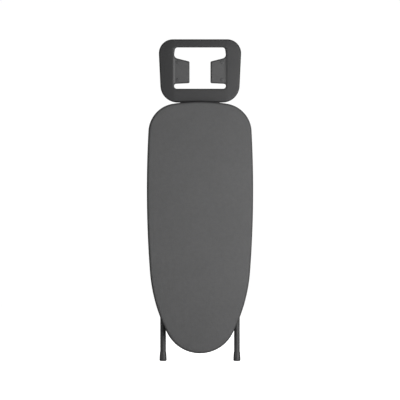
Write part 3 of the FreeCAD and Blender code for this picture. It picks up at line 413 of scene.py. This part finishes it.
# ---- Mesh top ----
def inside_board(point, inset):
    """True if a point lies inside the outline by at least the inset."""
    x = abs(point.x)
    for centre, radius, first, last in BOARD_ARCS:
        turn = math.atan2(point.z - centre.z, x - centre.x)
        if first <= turn <= last:
            return (Vector((x, 0, point.z)) - Vector((centre.x, 0, centre.z))).length <= radius - inset
    return False


def make_mesh_top():
    """Expanded metal: thin strands round diamond openings, cut to the board's outline."""
    low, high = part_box("mesh_top")
    bm = bmesh.new()
    columns = int((high.x - low.x) / CELL_W) + 2
    rows = int((high.z - low.z) / CELL_H * 2) + 2
    verts = {}

    def vertex(x, z):
        key = (round(x * 1e5), round(z * 1e5))
        if key not in verts:
            verts[key] = bm.verts.new((x, low.y + STRAND_T / 2, z))
        return verts[key]

    for row in range(rows):
        z = low.z + row * CELL_H / 2
        shift = CELL_W / 2 if row % 2 else 0.0
        for column in range(-columns // 2, columns // 2 + 1):
            x = column * CELL_W + shift
            if inside_board(Vector((x, 0, z)), RIM_INSET):
                wide = CELL_W / 2
                tall = CELL_H / 2
                corners = [(x - wide, z), (x, z - tall), (x + wide, z), (x, z + tall)]
                bm.faces.new([vertex(u, v) for u, v in corners])
    ringed = bmesh.ops.inset_individual(bm, faces=bm.faces[:], thickness=STRAND_W / 2, use_even_offset=True)
    rim_faces = set(ringed["faces"])
    holes = [face for face in bm.faces if face not in rim_faces]
    bmesh.ops.delete(bm, geom=holes, context="FACES")
    bmesh.ops.recalc_face_normals(bm, faces=bm.faces)
    sheet = mesh_from_bmesh("expanded_mesh", bm)
    apply_modifier(sheet, "SOLIDIFY", thickness=STRAND_T, offset=0.0)
    return smooth_by_angle(sheet, 40)


# ---- Iron rest ----
def rounded_outline(points, radii, steps=10):
    """Points round a polygon with rounded corners, each with its outward direction."""
    stations = []
    count = len(points)
    for i in range(count):
        corner = Vector(points[i])
        before = (Vector(points[i - 1]) - corner).normalized()
        after = (Vector(points[(i + 1) % count]) - corner).normalized()
        half = math.acos(max(-1, min(1, before.dot(after)))) / 2
        middle_way = (before + after).normalized()
        centre = corner + middle_way * (radii[i] / math.sin(half))
        turning = before.x * after.y - before.y * after.x
        sign = 1 if turning < 0 else -1
        start = corner + before * (radii[i] / math.tan(half)) - centre
        sweep = (math.pi - 2 * half) * sign
        for k in range(steps + 1):
            turn = sweep * k / steps
            arm = Vector((start.x * math.cos(turn) - start.y * math.sin(turn),
                          start.x * math.sin(turn) + start.y * math.cos(turn)))
            stations.append((centre + arm, arm.normalized() * sign))
    return stations


def even_out(stations, spacing):
    """Add points along the straight runs of an outline."""
    result = []
    count = len(stations)
    for i in range(count):
        point, out = stations[i]
        following, out_next = stations[(i + 1) % count]
        result.append((point, out))
        gap = (following - point).length
        if gap > 2 * spacing and out.dot(out_next) > 0.999:
            pieces = int(gap / spacing)
            for k in range(1, pieces):
                result.append((point.lerp(following, k / pieces), out))
    return result


def window_ends():
    """Heights of the window's lower and upper edge."""
    low, high = REST_BOX
    return low.z + REST_BAR_LOW, high.z - REST_BAR_TOP


def rest_outlines():
    """Outer edge, and window with a tab standing into it from each side."""
    low, high = REST_BOX
    half_top = REST_WIDTH_TOP / 2
    half_low = REST_WIDTH_LOW / 2
    frame_points = [(-half_low, low.z), (half_low, low.z), (half_top, high.z), (-half_top, high.z)]
    corners = [REST_CORNER_LOW, REST_CORNER_LOW, REST_CORNER_TOP, REST_CORNER_TOP]
    outer = rounded_outline(frame_points, corners, REST_CORNER_STEPS)
    window_low, window_top = window_ends()
    tab_low = window_low + TAB_LOW_UP
    tab_top = window_top - TAB_TOP_DOWN
    right = [
        (REST_WINDOW, window_low),
        (REST_WINDOW, tab_low),
        (TAB_IN, tab_low + TAB_LOW_RISE),
        (TAB_IN, tab_top - TAB_DIP),
        (REST_WINDOW + TAB_TOP_OUT, tab_top - TAB_TOP_DROP),
        (REST_WINDOW - WINDOW_TOP_IN, window_top),
    ]
    rounds = [WINDOW_LOW_ROUND, TAB_ROOT_ROUND_LOW, TAB_ROUND, TAB_ROUND, TAB_ROOT_ROUND_TOP,
              WINDOW_TOP_ROUND]
    left = [(-x, z) for x, z in reversed(right)]
    window = rounded_outline(right + left, rounds + rounds[::-1], WINDOW_CORNER_STEPS)
    return even_out(outer, REST_SPACING), even_out(window, WINDOW_SPACING)


def rest_ring(stations, shift, depth):
    """An outline moved outward by a shift, at a depth."""
    return [Vector((p.x + n.x * shift, depth, p.y + n.y * shift)) for p, n in stations]


def tab_depth(x, z):
    """How far back the pressed tabs lie at a place."""
    low, high = window_ends()
    across = ease((REST_WINDOW + TAB_SLOPE * (1 - TAB_SLOPE_IN) - abs(x)) / TAB_SLOPE)
    up = ease((z - low) / TAB_FADE) * ease((high - z) / TAB_FADE)
    return TAB_STEP * across * up


def rest_fall(x, z):
    """How far the rest's face has fallen back at a place, towards its sides and its top."""
    window_top = window_ends()[1]
    side = (abs(x) - REST_WINDOW) / (REST_WIDTH_TOP / 2 - REST_WINDOW)
    top = (z - window_top) / (REST_BOX[1].z - window_top)
    fall = REST_FALL_SIDE * max(0.0, min(1.0, side)) ** REST_FALL_CURVE
    return fall + REST_FALL_TOP * max(0.0, min(1.0, top)) ** REST_FALL_CURVE


def cut_across(bm, axis, places):
    """Cut the mesh square to an axis at each place, so that it can bend there."""
    for place in places:
        geom = bm.verts[:] + bm.edges[:] + bm.faces[:]
        bmesh.ops.bisect_plane(bm, geom=geom, dist=1e-6, plane_co=axis * place, plane_no=axis)


def cut_rest(bm):
    """Cuts along the pressed steps and over the parts of the face that fall back."""
    window_low, window_top = window_ends()
    sideways = Vector((1, 0, 0))
    upward = Vector((0, 0, 1))
    foot = REST_WINDOW - TAB_SLOPE * TAB_SLOPE_IN
    for side in (-1, 1):
        cut_across(bm, sideways, [side * (foot + TAB_SLOPE * k / 8) for k in range(9)])
    cut_across(bm, upward, [window_low + rise for rise in (0, TAB_FADE / 2, TAB_FADE, FLAT_CUT)])
    cut_across(bm, upward, [window_top - drop for drop in (FLAT_CUT, TAB_FADE, TAB_FADE / 2, 0)])
    for side in (-1, 1):
        cut_across(bm, sideways, [side * (REST_WINDOW + SIDE_CUT * k) for k in range(1, 7)])
    cut_across(bm, upward, [window_top + TOP_CUT * k for k in range(1, 4)])


def make_iron_rest():
    """Pressed sheet: flat frame with rolled edges, and a tab set back on each side."""
    low, high = REST_BOX
    front = low.y
    outer, window = rest_outlines()
    bm = bmesh.new()
    outer_rings = [rest_ring(outer, -REST_ROUND - REST_EDGE_IN, front)]
    window_rings = [rest_ring(window, REST_ROUND + REST_EDGE_IN, front)]
    for turn in round_steps(6):
        inset = REST_ROUND * (1 - math.sin(turn))
        depth = front + REST_ROUND_DEEP * (1 - math.cos(turn))
        outer_rings.append(rest_ring(outer, -inset, depth))
        window_rings.append(rest_ring(window, inset, depth))
    outer_rings.append(rest_ring(outer, 0, high.y))
    window_rings.append(rest_ring(window, 0, front + REST_LIP))
    inner_rows = [add_rings(bm, rings)[0] for rings in (outer_rings, window_rings)]
    edges = []
    for row in inner_rows:
        for i, vert in enumerate(row):
            edges.append(bm.edges.get((vert, row[(i + 1) % len(row)])))
    bmesh.ops.triangle_fill(bm, edges=edges, use_beauty=True, use_dissolve=False)
    cut_rest(bm)
    for vert in bm.verts:
        x, y, z = vert.co
        vert.co.y += min(high.y - y, rest_fall(x, z)) + tab_depth(x, z)
    bmesh.ops.recalc_face_normals(bm, faces=bm.faces)
    rest = mesh_from_bmesh("pressed_rest", bm)
    face_forward(rest)
    apply_modifier(rest, "SOLIDIFY", thickness=REST_T, offset=-1.0)
    return smooth_by_angle(rest, 35)


# ---- Node tools ----
FLOAT = "NodeSocketFloat"
COLOR = "NodeSocketColor"
VECTOR = "NodeSocketVector"


def new_group(name, inputs, outputs):
    """Shader node group with named inputs and outputs."""
    group = bpy.data.node_groups.new(name, "ShaderNodeTree")
    for label, kind, value in inputs:
        socket = group.interface.new_socket(name=label, in_out="INPUT", socket_type=kind)
        if value is not None:
            socket.default_value = value
    for label, kind in outputs:
        group.interface.new_socket(name=label, in_out="OUTPUT", socket_type=kind)
    return group, group.nodes.new("NodeGroupInput"), group.nodes.new("NodeGroupOutput")


def math_node(tree, operation, first, second=None, third=None):
    """Math node whose inputs are numbers or sockets; returns its output."""
    node = tree.nodes.new("ShaderNodeMath")
    node.operation = operation
    for socket, value in zip(node.inputs, (first, second, third)):
        if value is None:
            continue
        if isinstance(value, (int, float)):
            socket.default_value = value
        else:
            tree.links.new(value, socket)
    return node.outputs[0]


def noise_node(tree, vector, scale, detail=2.0, roughness=0.5):
    """Noise whose scale is a number or a socket; returns its value."""
    node = tree.nodes.new("ShaderNodeTexNoise")
    node.inputs["Detail"].default_value = detail
    node.inputs["Roughness"].default_value = roughness
    tree.links.new(vector, node.inputs["Vector"])
    if isinstance(scale, (int, float)):
        node.inputs["Scale"].default_value = scale
    else:
        tree.links.new(scale, node.inputs["Scale"])
    return node.outputs["Fac"]


def scaled_colour(tree, colour, factor):
    """A colour made lighter or darker by a factor."""
    node = tree.nodes.new("ShaderNodeVectorMath")
    node.operation = "SCALE"
    tree.links.new(colour, node.inputs[0])
    tree.links.new(factor, node.inputs["Scale"])
    return node.outputs[0]


def mixed_colour(tree, mask, first, second):
    """The first colour, turning to the second under a mask; the second may be a plain value."""
    node = tree.nodes.new("ShaderNodeMix")
    node.data_type = "RGBA"
    tree.links.new(mask, node.inputs["Factor"])
    tree.links.new(first, node.inputs["A"])
    if isinstance(second, tuple):
        node.inputs["B"].default_value = second
    else:
        tree.links.new(second, node.inputs["B"])
    return node.outputs["Result"]


def object_place(tree):
    """Coordinates that stay with the piece."""
    return tree.nodes.new("ShaderNodeTexCoord").outputs["Object"]


def build_mottle_group():
    """Colour that wanders a little lighter and darker over the surface at three sizes."""
    inputs = [("Vector", VECTOR, None), ("Color", COLOR, (0.5, 0.5, 0.5, 1)), ("Broad", FLOAT, 0.03),
              ("Middle", FLOAT, 0.03), ("Fine", FLOAT, 0.05), ("Fine Scale", FLOAT, 400.0)]
    group, source, sink = new_group("mottle", inputs, [("Color", COLOR)])
    place = source.outputs["Vector"]
    broad = noise_node(group, place, 7.0, 2.0)
    middle = noise_node(group, place, 60.0, 3.0)
    fine = noise_node(group, place, source.outputs["Fine Scale"], 2.0, 0.7)
    total = 1.0
    for field, label in ((broad, "Broad"), (middle, "Middle"), (fine, "Fine")):
        centred = math_node(group, "SUBTRACT", field, 0.5)
        part = math_node(group, "MULTIPLY", centred, source.outputs[label])
        total = math_node(group, "MULTIPLY_ADD", part, 2.0, total)
    group.links.new(scaled_colour(group, source.outputs["Color"], total), sink.inputs["Color"])
    return group


def build_weave_group():
    """Plain weave: warp and weft threads that pass over each other, with slubs."""
    inputs = [("Vector", VECTOR, None), ("Threads", FLOAT, 1400.0)]
    group, source, sink = new_group("plain_weave", inputs, [("Height", FLOAT), ("Shade", FLOAT)])
    split = group.nodes.new("ShaderNodeSeparateXYZ")
    group.links.new(source.outputs["Vector"], split.inputs[0])
    x, y, z = split.outputs
    across = math_node(group, "MULTIPLY", math_node(group, "ADD", x, y), source.outputs["Threads"])
    along = math_node(group, "MULTIPLY", math_node(group, "ADD", z, y), source.outputs["Threads"])
    across_wave = math_node(group, "SINE", math_node(group, "MULTIPLY", across, math.pi))
    along_wave = math_node(group, "SINE", math_node(group, "MULTIPLY", along, math.pi))
    warp = math_node(group, "ABSOLUTE", across_wave)
    weft = math_node(group, "ABSOLUTE", along_wave)
    over = math_node(group, "MULTIPLY", across_wave, along_wave)
    side = math_node(group, "MULTIPLY_ADD", over, 0.5, 0.5)
    top = math_node(group, "MULTIPLY", warp, side)
    under = math_node(group, "MULTIPLY", weft, math_node(group, "SUBTRACT", 1.0, side))
    height = math_node(group, "ADD", top, under)
    slub = noise_node(group, source.outputs["Vector"], 900.0, 1.0)
    shade = math_node(group, "MULTIPLY", height, slub)
    group.links.new(height, sink.inputs["Height"])
    group.links.new(shade, sink.inputs["Shade"])
    return group


def build_grain_group():
    """Fine raised grain, as on powder coat and moulded plastic."""
    inputs = [("Vector", VECTOR, None), ("Scale", FLOAT, 900.0), ("Roughness", FLOAT, 0.5),
              ("Spread", FLOAT, 0.1)]
    group, source, sink = new_group("fine_grain", inputs, [("Height", FLOAT), ("Roughness", FLOAT)])
    fine = noise_node(group, source.outputs["Vector"], source.outputs["Scale"], 2.0, 0.6)
    broad = noise_node(group, source.outputs["Vector"], 18.0, 3.0)
    centred = math_node(group, "SUBTRACT", broad, 0.5)
    spread = math_node(group, "MULTIPLY", centred, source.outputs["Spread"])
    rough = math_node(group, "ADD", source.outputs["Roughness"], spread)
    group.links.new(fine, sink.inputs["Height"])
    group.links.new(rough, sink.inputs["Roughness"])
    return group


def build_scuff_group():
    """Mask of rubbed patches near a height, such as the sole of a foot."""
    inputs = [("Vector", VECTOR, None), ("Height", FLOAT, 0.0), ("Reach", FLOAT, 0.02),
              ("Amount", FLOAT, 0.5)]
    group, source, sink = new_group("scuffs", inputs, [("Mask", FLOAT)])
    split = group.nodes.new("ShaderNodeSeparateXYZ")
    group.links.new(source.outputs["Vector"], split.inputs[0])
    rise = math_node(group, "SUBTRACT", split.outputs[2], source.outputs["Height"])
    away = math_node(group, "ABSOLUTE", rise)
    near = math_node(group, "SUBTRACT", 1.0, math_node(group, "DIVIDE", away, source.outputs["Reach"]))
    near.node.use_clamp = True
    patch = noise_node(group, source.outputs["Vector"], 160.0, 4.0, 0.7)
    rubbed = math_node(group, "MULTIPLY", math_node(group, "SUBTRACT", patch, 0.45), 5.0)
    rubbed.node.use_clamp = True
    wear_and_highlight = math_node(group, "MULTIPLY", near, rubbed)
    mask = math_node(group, "MULTIPLY", wear_and_highlight, source.outputs["Amount"])
    group.links.new(mask, sink.inputs["Mask"])
    return group


def build_pressed_group():
    """Masks of the surface pressed back from a face, and of the step down to it, inside a frame."""
    inputs = [("Vector", VECTOR, None), ("Face", FLOAT, 0.0), ("Depth", FLOAT, 0.005),
              ("Half Width", FLOAT, 0.1), ("Slope", FLOAT, 0.009), ("Low", FLOAT, 0.0),
              ("High", FLOAT, 1.0)]
    group, source, sink = new_group("pressed_back", inputs, [("Mask", FLOAT), ("Step", FLOAT)])
    split = group.nodes.new("ShaderNodeSeparateXYZ")
    group.links.new(source.outputs["Vector"], split.inputs[0])
    back = math_node(group, "SUBTRACT", split.outputs[1], source.outputs["Face"])
    share = math_node(group, "DIVIDE", back, source.outputs["Depth"])
    full = math_node(group, "GREATER_THAN", share, 0.95)
    beyond = math_node(group, "GREATER_THAN", share, 1.10)
    begun = math_node(group, "GREATER_THAN", share, 0.25)
    across = math_node(group, "ABSOLUTE", split.outputs[0])
    narrow = math_node(group, "LESS_THAN", across, source.outputs["Half Width"])
    above = math_node(group, "GREATER_THAN", split.outputs[2], source.outputs["Low"])
    below = math_node(group, "LESS_THAN", split.outputs[2], source.outputs["High"])
    inside = math_node(group, "MULTIPLY", narrow, math_node(group, "MULTIPLY", above, below))
    slope_foot = math_node(group, "SUBTRACT", source.outputs["Half Width"], source.outputs["Slope"])
    near = math_node(group, "GREATER_THAN", across, slope_foot)
    slope = math_node(group, "MULTIPLY", math_node(group, "SUBTRACT", begun, full), near)
    flat = math_node(group, "SUBTRACT", full, beyond)
    group.links.new(math_node(group, "MULTIPLY", flat, inside), sink.inputs["Mask"])
    group.links.new(math_node(group, "MULTIPLY", slope, inside), sink.inputs["Step"])
    return group


def build_edge_shade_group():
    """Painted shade: colour darkened where a piece's own surface turns away from its flat face."""
    inputs = [("Normal", VECTOR, None), ("Color", COLOR, (0.5, 0.5, 0.5, 1)), ("Amount", FLOAT, 0.9),
              ("Power", FLOAT, 1.0)]
    group, source, sink = new_group("painted_edge_shade", inputs, [("Color", COLOR)])
    split = group.nodes.new("ShaderNodeSeparateXYZ")
    group.links.new(source.outputs["Normal"], split.inputs[0])
    away = math_node(group, "SUBTRACT", 1.0, math_node(group, "ABSOLUTE", split.outputs[1]))
    away.node.use_clamp = True
    turned = math_node(group, "POWER", away, source.outputs["Power"])
    loss = math_node(group, "MULTIPLY", turned, source.outputs["Amount"])
    kept = math_node(group, "SUBTRACT", 1.0, loss)
    group.links.new(scaled_colour(group, source.outputs["Color"], kept), sink.inputs["Color"])
    return group


EDGE_SHADE_GROUP = build_edge_shade_group()
PRESSED = build_pressed_group()
MOTTLE = build_mottle_group()
WEAVE = build_weave_group()
GRAIN = build_grain_group()
SCUFF = build_scuff_group()


def place_group(tree, group, **values):
    """Put a node group in a material; a value is a number, a colour or a socket."""
    node = tree.nodes.new("ShaderNodeGroup")
    node.node_tree = group
    for label, value in values.items():
        socket = node.inputs[label.replace("_", " ")]
        if isinstance(value, bpy.types.NodeSocket):
            tree.links.new(value, socket)
        else:
            socket.default_value = value
    return node


def new_material(name, metallic=0.0, roughness=0.5, **sockets):
    """Material, its nodes and its shader, with plain values set on the shader."""
    material = bpy.data.materials.new(name)
    material.use_nodes = True
    shader = material.node_tree.nodes["Principled BSDF"]
    shader.inputs["Metallic"].default_value = metallic
    shader.inputs["Roughness"].default_value = roughness
    for label, value in sockets.items():
        shader.inputs[label.replace("_", " ")].default_value = value
    return material, material.node_tree, shader


def bump(tree, shader, height, distance, strength, beneath=None):
    """Relief on the shader's normal, over another relief if one is given."""
    node = tree.nodes.new("ShaderNodeBump")
    node.inputs["Distance"].default_value = distance
    node.inputs["Strength"].default_value = strength
    tree.links.new(height, node.inputs["Height"])
    if beneath is not None:
        tree.links.new(beneath, node.inputs["Normal"])
    tree.links.new(node.outputs["Normal"], shader.inputs["Normal"])
    return node.outputs["Normal"]


def paint_edge_shade(tree, shader, colour, amount, power):
    """Painted shade: darker colour where the surface turns over at an edge, fed to the base colour."""
    normal = tree.nodes.new("ShaderNodeTexCoord").outputs["Normal"]
    edge = place_group(tree, EDGE_SHADE_GROUP, Normal=normal, Color=colour, Amount=amount, Power=power)
    tree.links.new(edge.outputs["Color"], shader.inputs["Base Color"])


def cover_material():
    """Grey cotton: plain weave with melange threads and a faint brushed unevenness, with painted shade
    darkening its rolled edge.
    """
    material, tree, shader = new_material("grey_cotton", roughness=0.95, Specular_IOR_Level=0.2)
    place = object_place(tree)
    colour = place_group(tree, MOTTLE, Vector=place, Color=COTTON_GREY, Broad=0.05, Middle=0.07, Fine=0.16,
                         Fine_Scale=520.0)
    weave = place_group(tree, WEAVE, Vector=place, Threads=1500.0)
    thread_shade = math_node(tree, "MULTIPLY_ADD", weave.outputs["Shade"], 0.30, 0.92)
    woven = scaled_colour(tree, colour.outputs["Color"], thread_shade)
    # painted shade: the cover's colour darkened on its rolled edge, where the surface turns away from the
    # face
    paint_edge_shade(tree, shader, woven, amount=0.98, power=0.8)
    creases = bump(tree, shader, noise_node(tree, place, 55.0, 3.0), distance=0.0012, strength=0.5)
    bump(tree, shader, weave.outputs["Height"], distance=0.00025, strength=0.8, beneath=creases)
    return material


def felt_material():
    """Pale needled felt of the pad."""
    material, tree, shader = new_material("pale_felt", roughness=1.0, Sheen_Weight=0.4,
                                          Specular_IOR_Level=0.1)
    place = object_place(tree)
    colour = place_group(tree, MOTTLE, Vector=place, Color=FELT_WHITE, Broad=0.05, Middle=0.12, Fine=0.25,
                         Fine_Scale=700.0)
    tree.links.new(colour.outputs["Color"], shader.inputs["Base Color"])
    bump(tree, shader, noise_node(tree, place, 800.0, 3.0, 0.7), distance=0.0006, strength=0.8)
    return material


def coated_material(name, colour, roughness, grain_scale):
    """Powder coat or moulded plastic: even colour, fine grain, slightly uneven gloss."""
    material, tree, shader = new_material(name, roughness=roughness)
    place = object_place(tree)
    tone = place_group(tree, MOTTLE, Vector=place, Color=colour, Broad=0.04, Middle=0.04, Fine=0.05,
                       Fine_Scale=grain_scale)
    grain = place_group(tree, GRAIN, Vector=place, Scale=grain_scale, Roughness=roughness, Spread=0.12)
    tree.links.new(tone.outputs["Color"], shader.inputs["Base Color"])
    tree.links.new(grain.outputs["Roughness"], shader.inputs["Roughness"])
    bump(tree, shader, grain.outputs["Height"], distance=GRAIN_DEPTH, strength=0.6)
    return material


def rest_material():
    """Powder coat of the iron rest, paler on the pressed tabs that the iron's sole rubs, with a painted
    highlight along the tabs' pressed steps and painted shade on the rolled edges.
    """
    material, tree, shader = new_material("rest_powder_coat", roughness=0.5)
    place = object_place(tree)
    face = REST_BOX[0].y
    window_low, window_top = window_ends()
    grain = place_group(tree, GRAIN, Vector=place, Scale=REST_GRAIN, Roughness=0.60, Spread=0.12)
    tone = place_group(tree, MOTTLE, Vector=place, Color=REST_DARK, Broad=0.05, Middle=0.05, Fine=0.06,
                       Fine_Scale=REST_GRAIN)
    rubbed = place_group(tree, MOTTLE, Vector=place, Color=TAB_GREY, Broad=0.05, Middle=0.08, Fine=0.10,
                         Fine_Scale=700.0)
    tabs = place_group(tree, PRESSED, Vector=place, Face=face, Depth=TAB_STEP,
                       Half_Width=REST_WINDOW + TAB_MARGIN, Slope=TAB_SLOPE, Low=window_low,
                       High=window_top)
    coat = mixed_colour(tree, tabs.outputs["Mask"], tone.outputs["Color"], rubbed.outputs["Color"])
    # painted highlight along each tab's pressed step
    wear_and_highlight = mixed_colour(tree, tabs.outputs["Step"], coat, STEP_HIGHLIGHT_GREY)
    # painted shade: the rest's colour darkened on its rolled edges, where the surface turns away from the
    # face
    paint_edge_shade(tree, shader, wear_and_highlight, amount=0.99, power=0.45)
    tree.links.new(grain.outputs["Roughness"], shader.inputs["Roughness"])
    bump(tree, shader, grain.outputs["Height"], distance=GRAIN_DEPTH, strength=0.6)
    return material


def foot_material():
    """Moulded foot plastic with pale rubbed patches at the sole."""
    material, tree, shader = new_material("foot_moulding", roughness=0.5)
    place = object_place(tree)
    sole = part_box("outer_foot_left")[0].z
    tone = place_group(tree, MOTTLE, Vector=place, Color=FOOT_BLACK, Broad=0.04, Middle=0.05, Fine=0.08,
                       Fine_Scale=900.0)
    scuffs = place_group(tree, SCUFF, Vector=place, Height=sole, Reach=0.005, Amount=0.6)
    scuffed = mixed_colour(tree, scuffs.outputs["Mask"], tone.outputs["Color"], SCUFF_GREY)
    tree.links.new(scuffed, shader.inputs["Base Color"])
    grain = place_group(tree, GRAIN, Vector=place, Scale=COAT_GRAIN, Roughness=0.5, Spread=0.15)
    tree.links.new(grain.outputs["Roughness"], shader.inputs["Roughness"])
    bump(tree, shader, grain.outputs["Height"], distance=GRAIN_DEPTH, strength=0.6)
    return material


def zinc_material():
    """Zinc-plated steel: bright metal with uneven gloss."""
    material, tree, shader = new_material("zinc_plate", metallic=1.0, roughness=0.35)
    place = object_place(tree)
    tone = place_group(tree, MOTTLE, Vector=place, Color=ZINC_GREY, Broad=0.05, Middle=0.12, Fine=0.10,
                       Fine_Scale=ZINC_GRAIN)
    grain = place_group(tree, GRAIN, Vector=place, Scale=ZINC_GRAIN, Roughness=0.35, Spread=0.3)
    tree.links.new(tone.outputs["Color"], shader.inputs["Base Color"])
    tree.links.new(grain.outputs["Roughness"], shader.inputs["Roughness"])
    bump(tree, shader, grain.outputs["Height"], distance=ZINC_DEPTH, strength=0.4)
    return material


def make_materials():
    """One material for each material slot of the record."""
    return {
        "cover_fabric": cover_material(),
        "pad_foam": felt_material(),
        "frame_paint": coated_material("frame_powder_coat", FRAME_DARK, 0.55, COAT_GRAIN),
        "rest_coat": rest_material(),
        "mesh_paint": coated_material("mesh_powder_coat", MESH_GREY, 0.45, COAT_GRAIN),
        "zinc_steel": zinc_material(),
        "black_plastic": coated_material("black_moulding", MOULDING_BLACK, 0.42, PLASTIC_GRAIN),
        "foot_plastic": foot_material(),
    }


def set_material(obj, material):
    """One material over the whole object."""
    obj.data.materials.clear()
    obj.data.materials.append(material)


# ---- Stage, light and camera ----
def make_lights():
    """Square area lights, each aimed at a height on the board's middle line."""
    middle = (cad_box[0][2] + cad_box[1][2]) / 2
    for name, place, aim, size, power in LIGHTS:
        data = bpy.data.lights.new(name, "AREA")
        data.shape = "SQUARE"
        data.size = size
        data.energy = power
        lamp = new_object(name, data)
        lamp.location = place
        away = Vector((0, 0, middle if aim is None else aim)) - Vector(place)
        lamp.rotation_euler = away.to_track_quat("-Z", "Y").to_euler()


def make_stage():
    """Pale floor, and a plain white surround that lights the object only softly."""
    bm = bmesh.new()
    bmesh.ops.create_grid(bm, x_segments=1, y_segments=1, size=FLOOR_HALF)
    floor = mesh_from_bmesh("studio_floor", bm)
    floor.location.z = cad_box[0][2] - FLOOR_GAP
    material, tree, shader = new_material("floor_paper", roughness=0.9, Specular_IOR_Level=0.1)
    place = object_place(tree)
    tone = place_group(tree, MOTTLE, Vector=place, Color=PAPER_WHITE, Broad=0.004, Middle=0.004, Fine=0.004,
                       Fine_Scale=300.0)
    tree.links.new(tone.outputs["Color"], shader.inputs["Base Color"])
    shader.inputs["Emission Color"].default_value = (1, 1, 1, 1)
    seen = tree.nodes.new("ShaderNodeLightPath").outputs["Is Camera Ray"]
    tree.links.new(seen, shader.inputs["Emission Strength"])
    set_material(floor, material)
    world = bpy.data.worlds.new("studio")
    bpy.context.scene.world = world
    world.use_nodes = True
    tree = world.node_tree
    background = tree.nodes["Background"]
    background.inputs["Color"].default_value = (1, 1, 1, 1)
    seen = tree.nodes.new("ShaderNodeLightPath").outputs["Is Camera Ray"]
    strength = math_node(tree, "MULTIPLY_ADD", seen, WORLD_SEEN, WORLD_LIGHT)
    tree.links.new(strength, background.inputs["Strength"])


def make_camera():
    """Long lens, level and square to the board, aimed at the middle of its height."""
    data = bpy.data.cameras.new("camera")
    data.sensor_width = SENSOR_WIDTH
    data.lens = SENSOR_WIDTH * CAMERA_DISTANCE / VIEW_WIDTH
    data.clip_end = 100.0
    camera = new_object("camera", data)
    front = cad_box[0][1]
    camera.location = (0, front - CAMERA_DISTANCE, VIEW_HEIGHT)
    camera.rotation_euler = (math.radians(90), 0, 0)
    bpy.context.scene.camera = camera


# ---- Put together ----
def slots_by_node():
    """Material slot of each node of the record."""
    return {part["node"]: part["material_slot"] for part in frame["record"]["subparts"]}


def dress(obj, node, body, materials, slots):
    """A new piece that stands for a CAD node."""
    set_material(obj, materials[slots[node]])
    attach(obj, body)
    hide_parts(node)


def main():
    """Finish every CAD node, then add the remade pieces, the stage, the light and the camera."""
    materials = make_materials()
    slots = slots_by_node()
    for node, obj in frame["nodes"].items():
        set_material(obj, materials[slots[node]])
    studs = coated_material("stud_coat", TAB_GREY, 0.4, PLASTIC_GRAIN)
    set_material(frame["nodes"]["rest_studs"], studs)
    cover = make_cover()
    dress(cover, "cover", "board", materials, slots)
    pad = make_pad()
    dress(pad, "pad", "board", materials, slots)
    dress(make_mesh_top(), "mesh_top", "board", materials, slots)
    dress(make_iron_rest(), "iron_rest", "board", materials, slots)
    make_stage()
    make_lights()
    make_camera()
    bpy.context.scene.view_settings.view_transform = "Standard"


main()
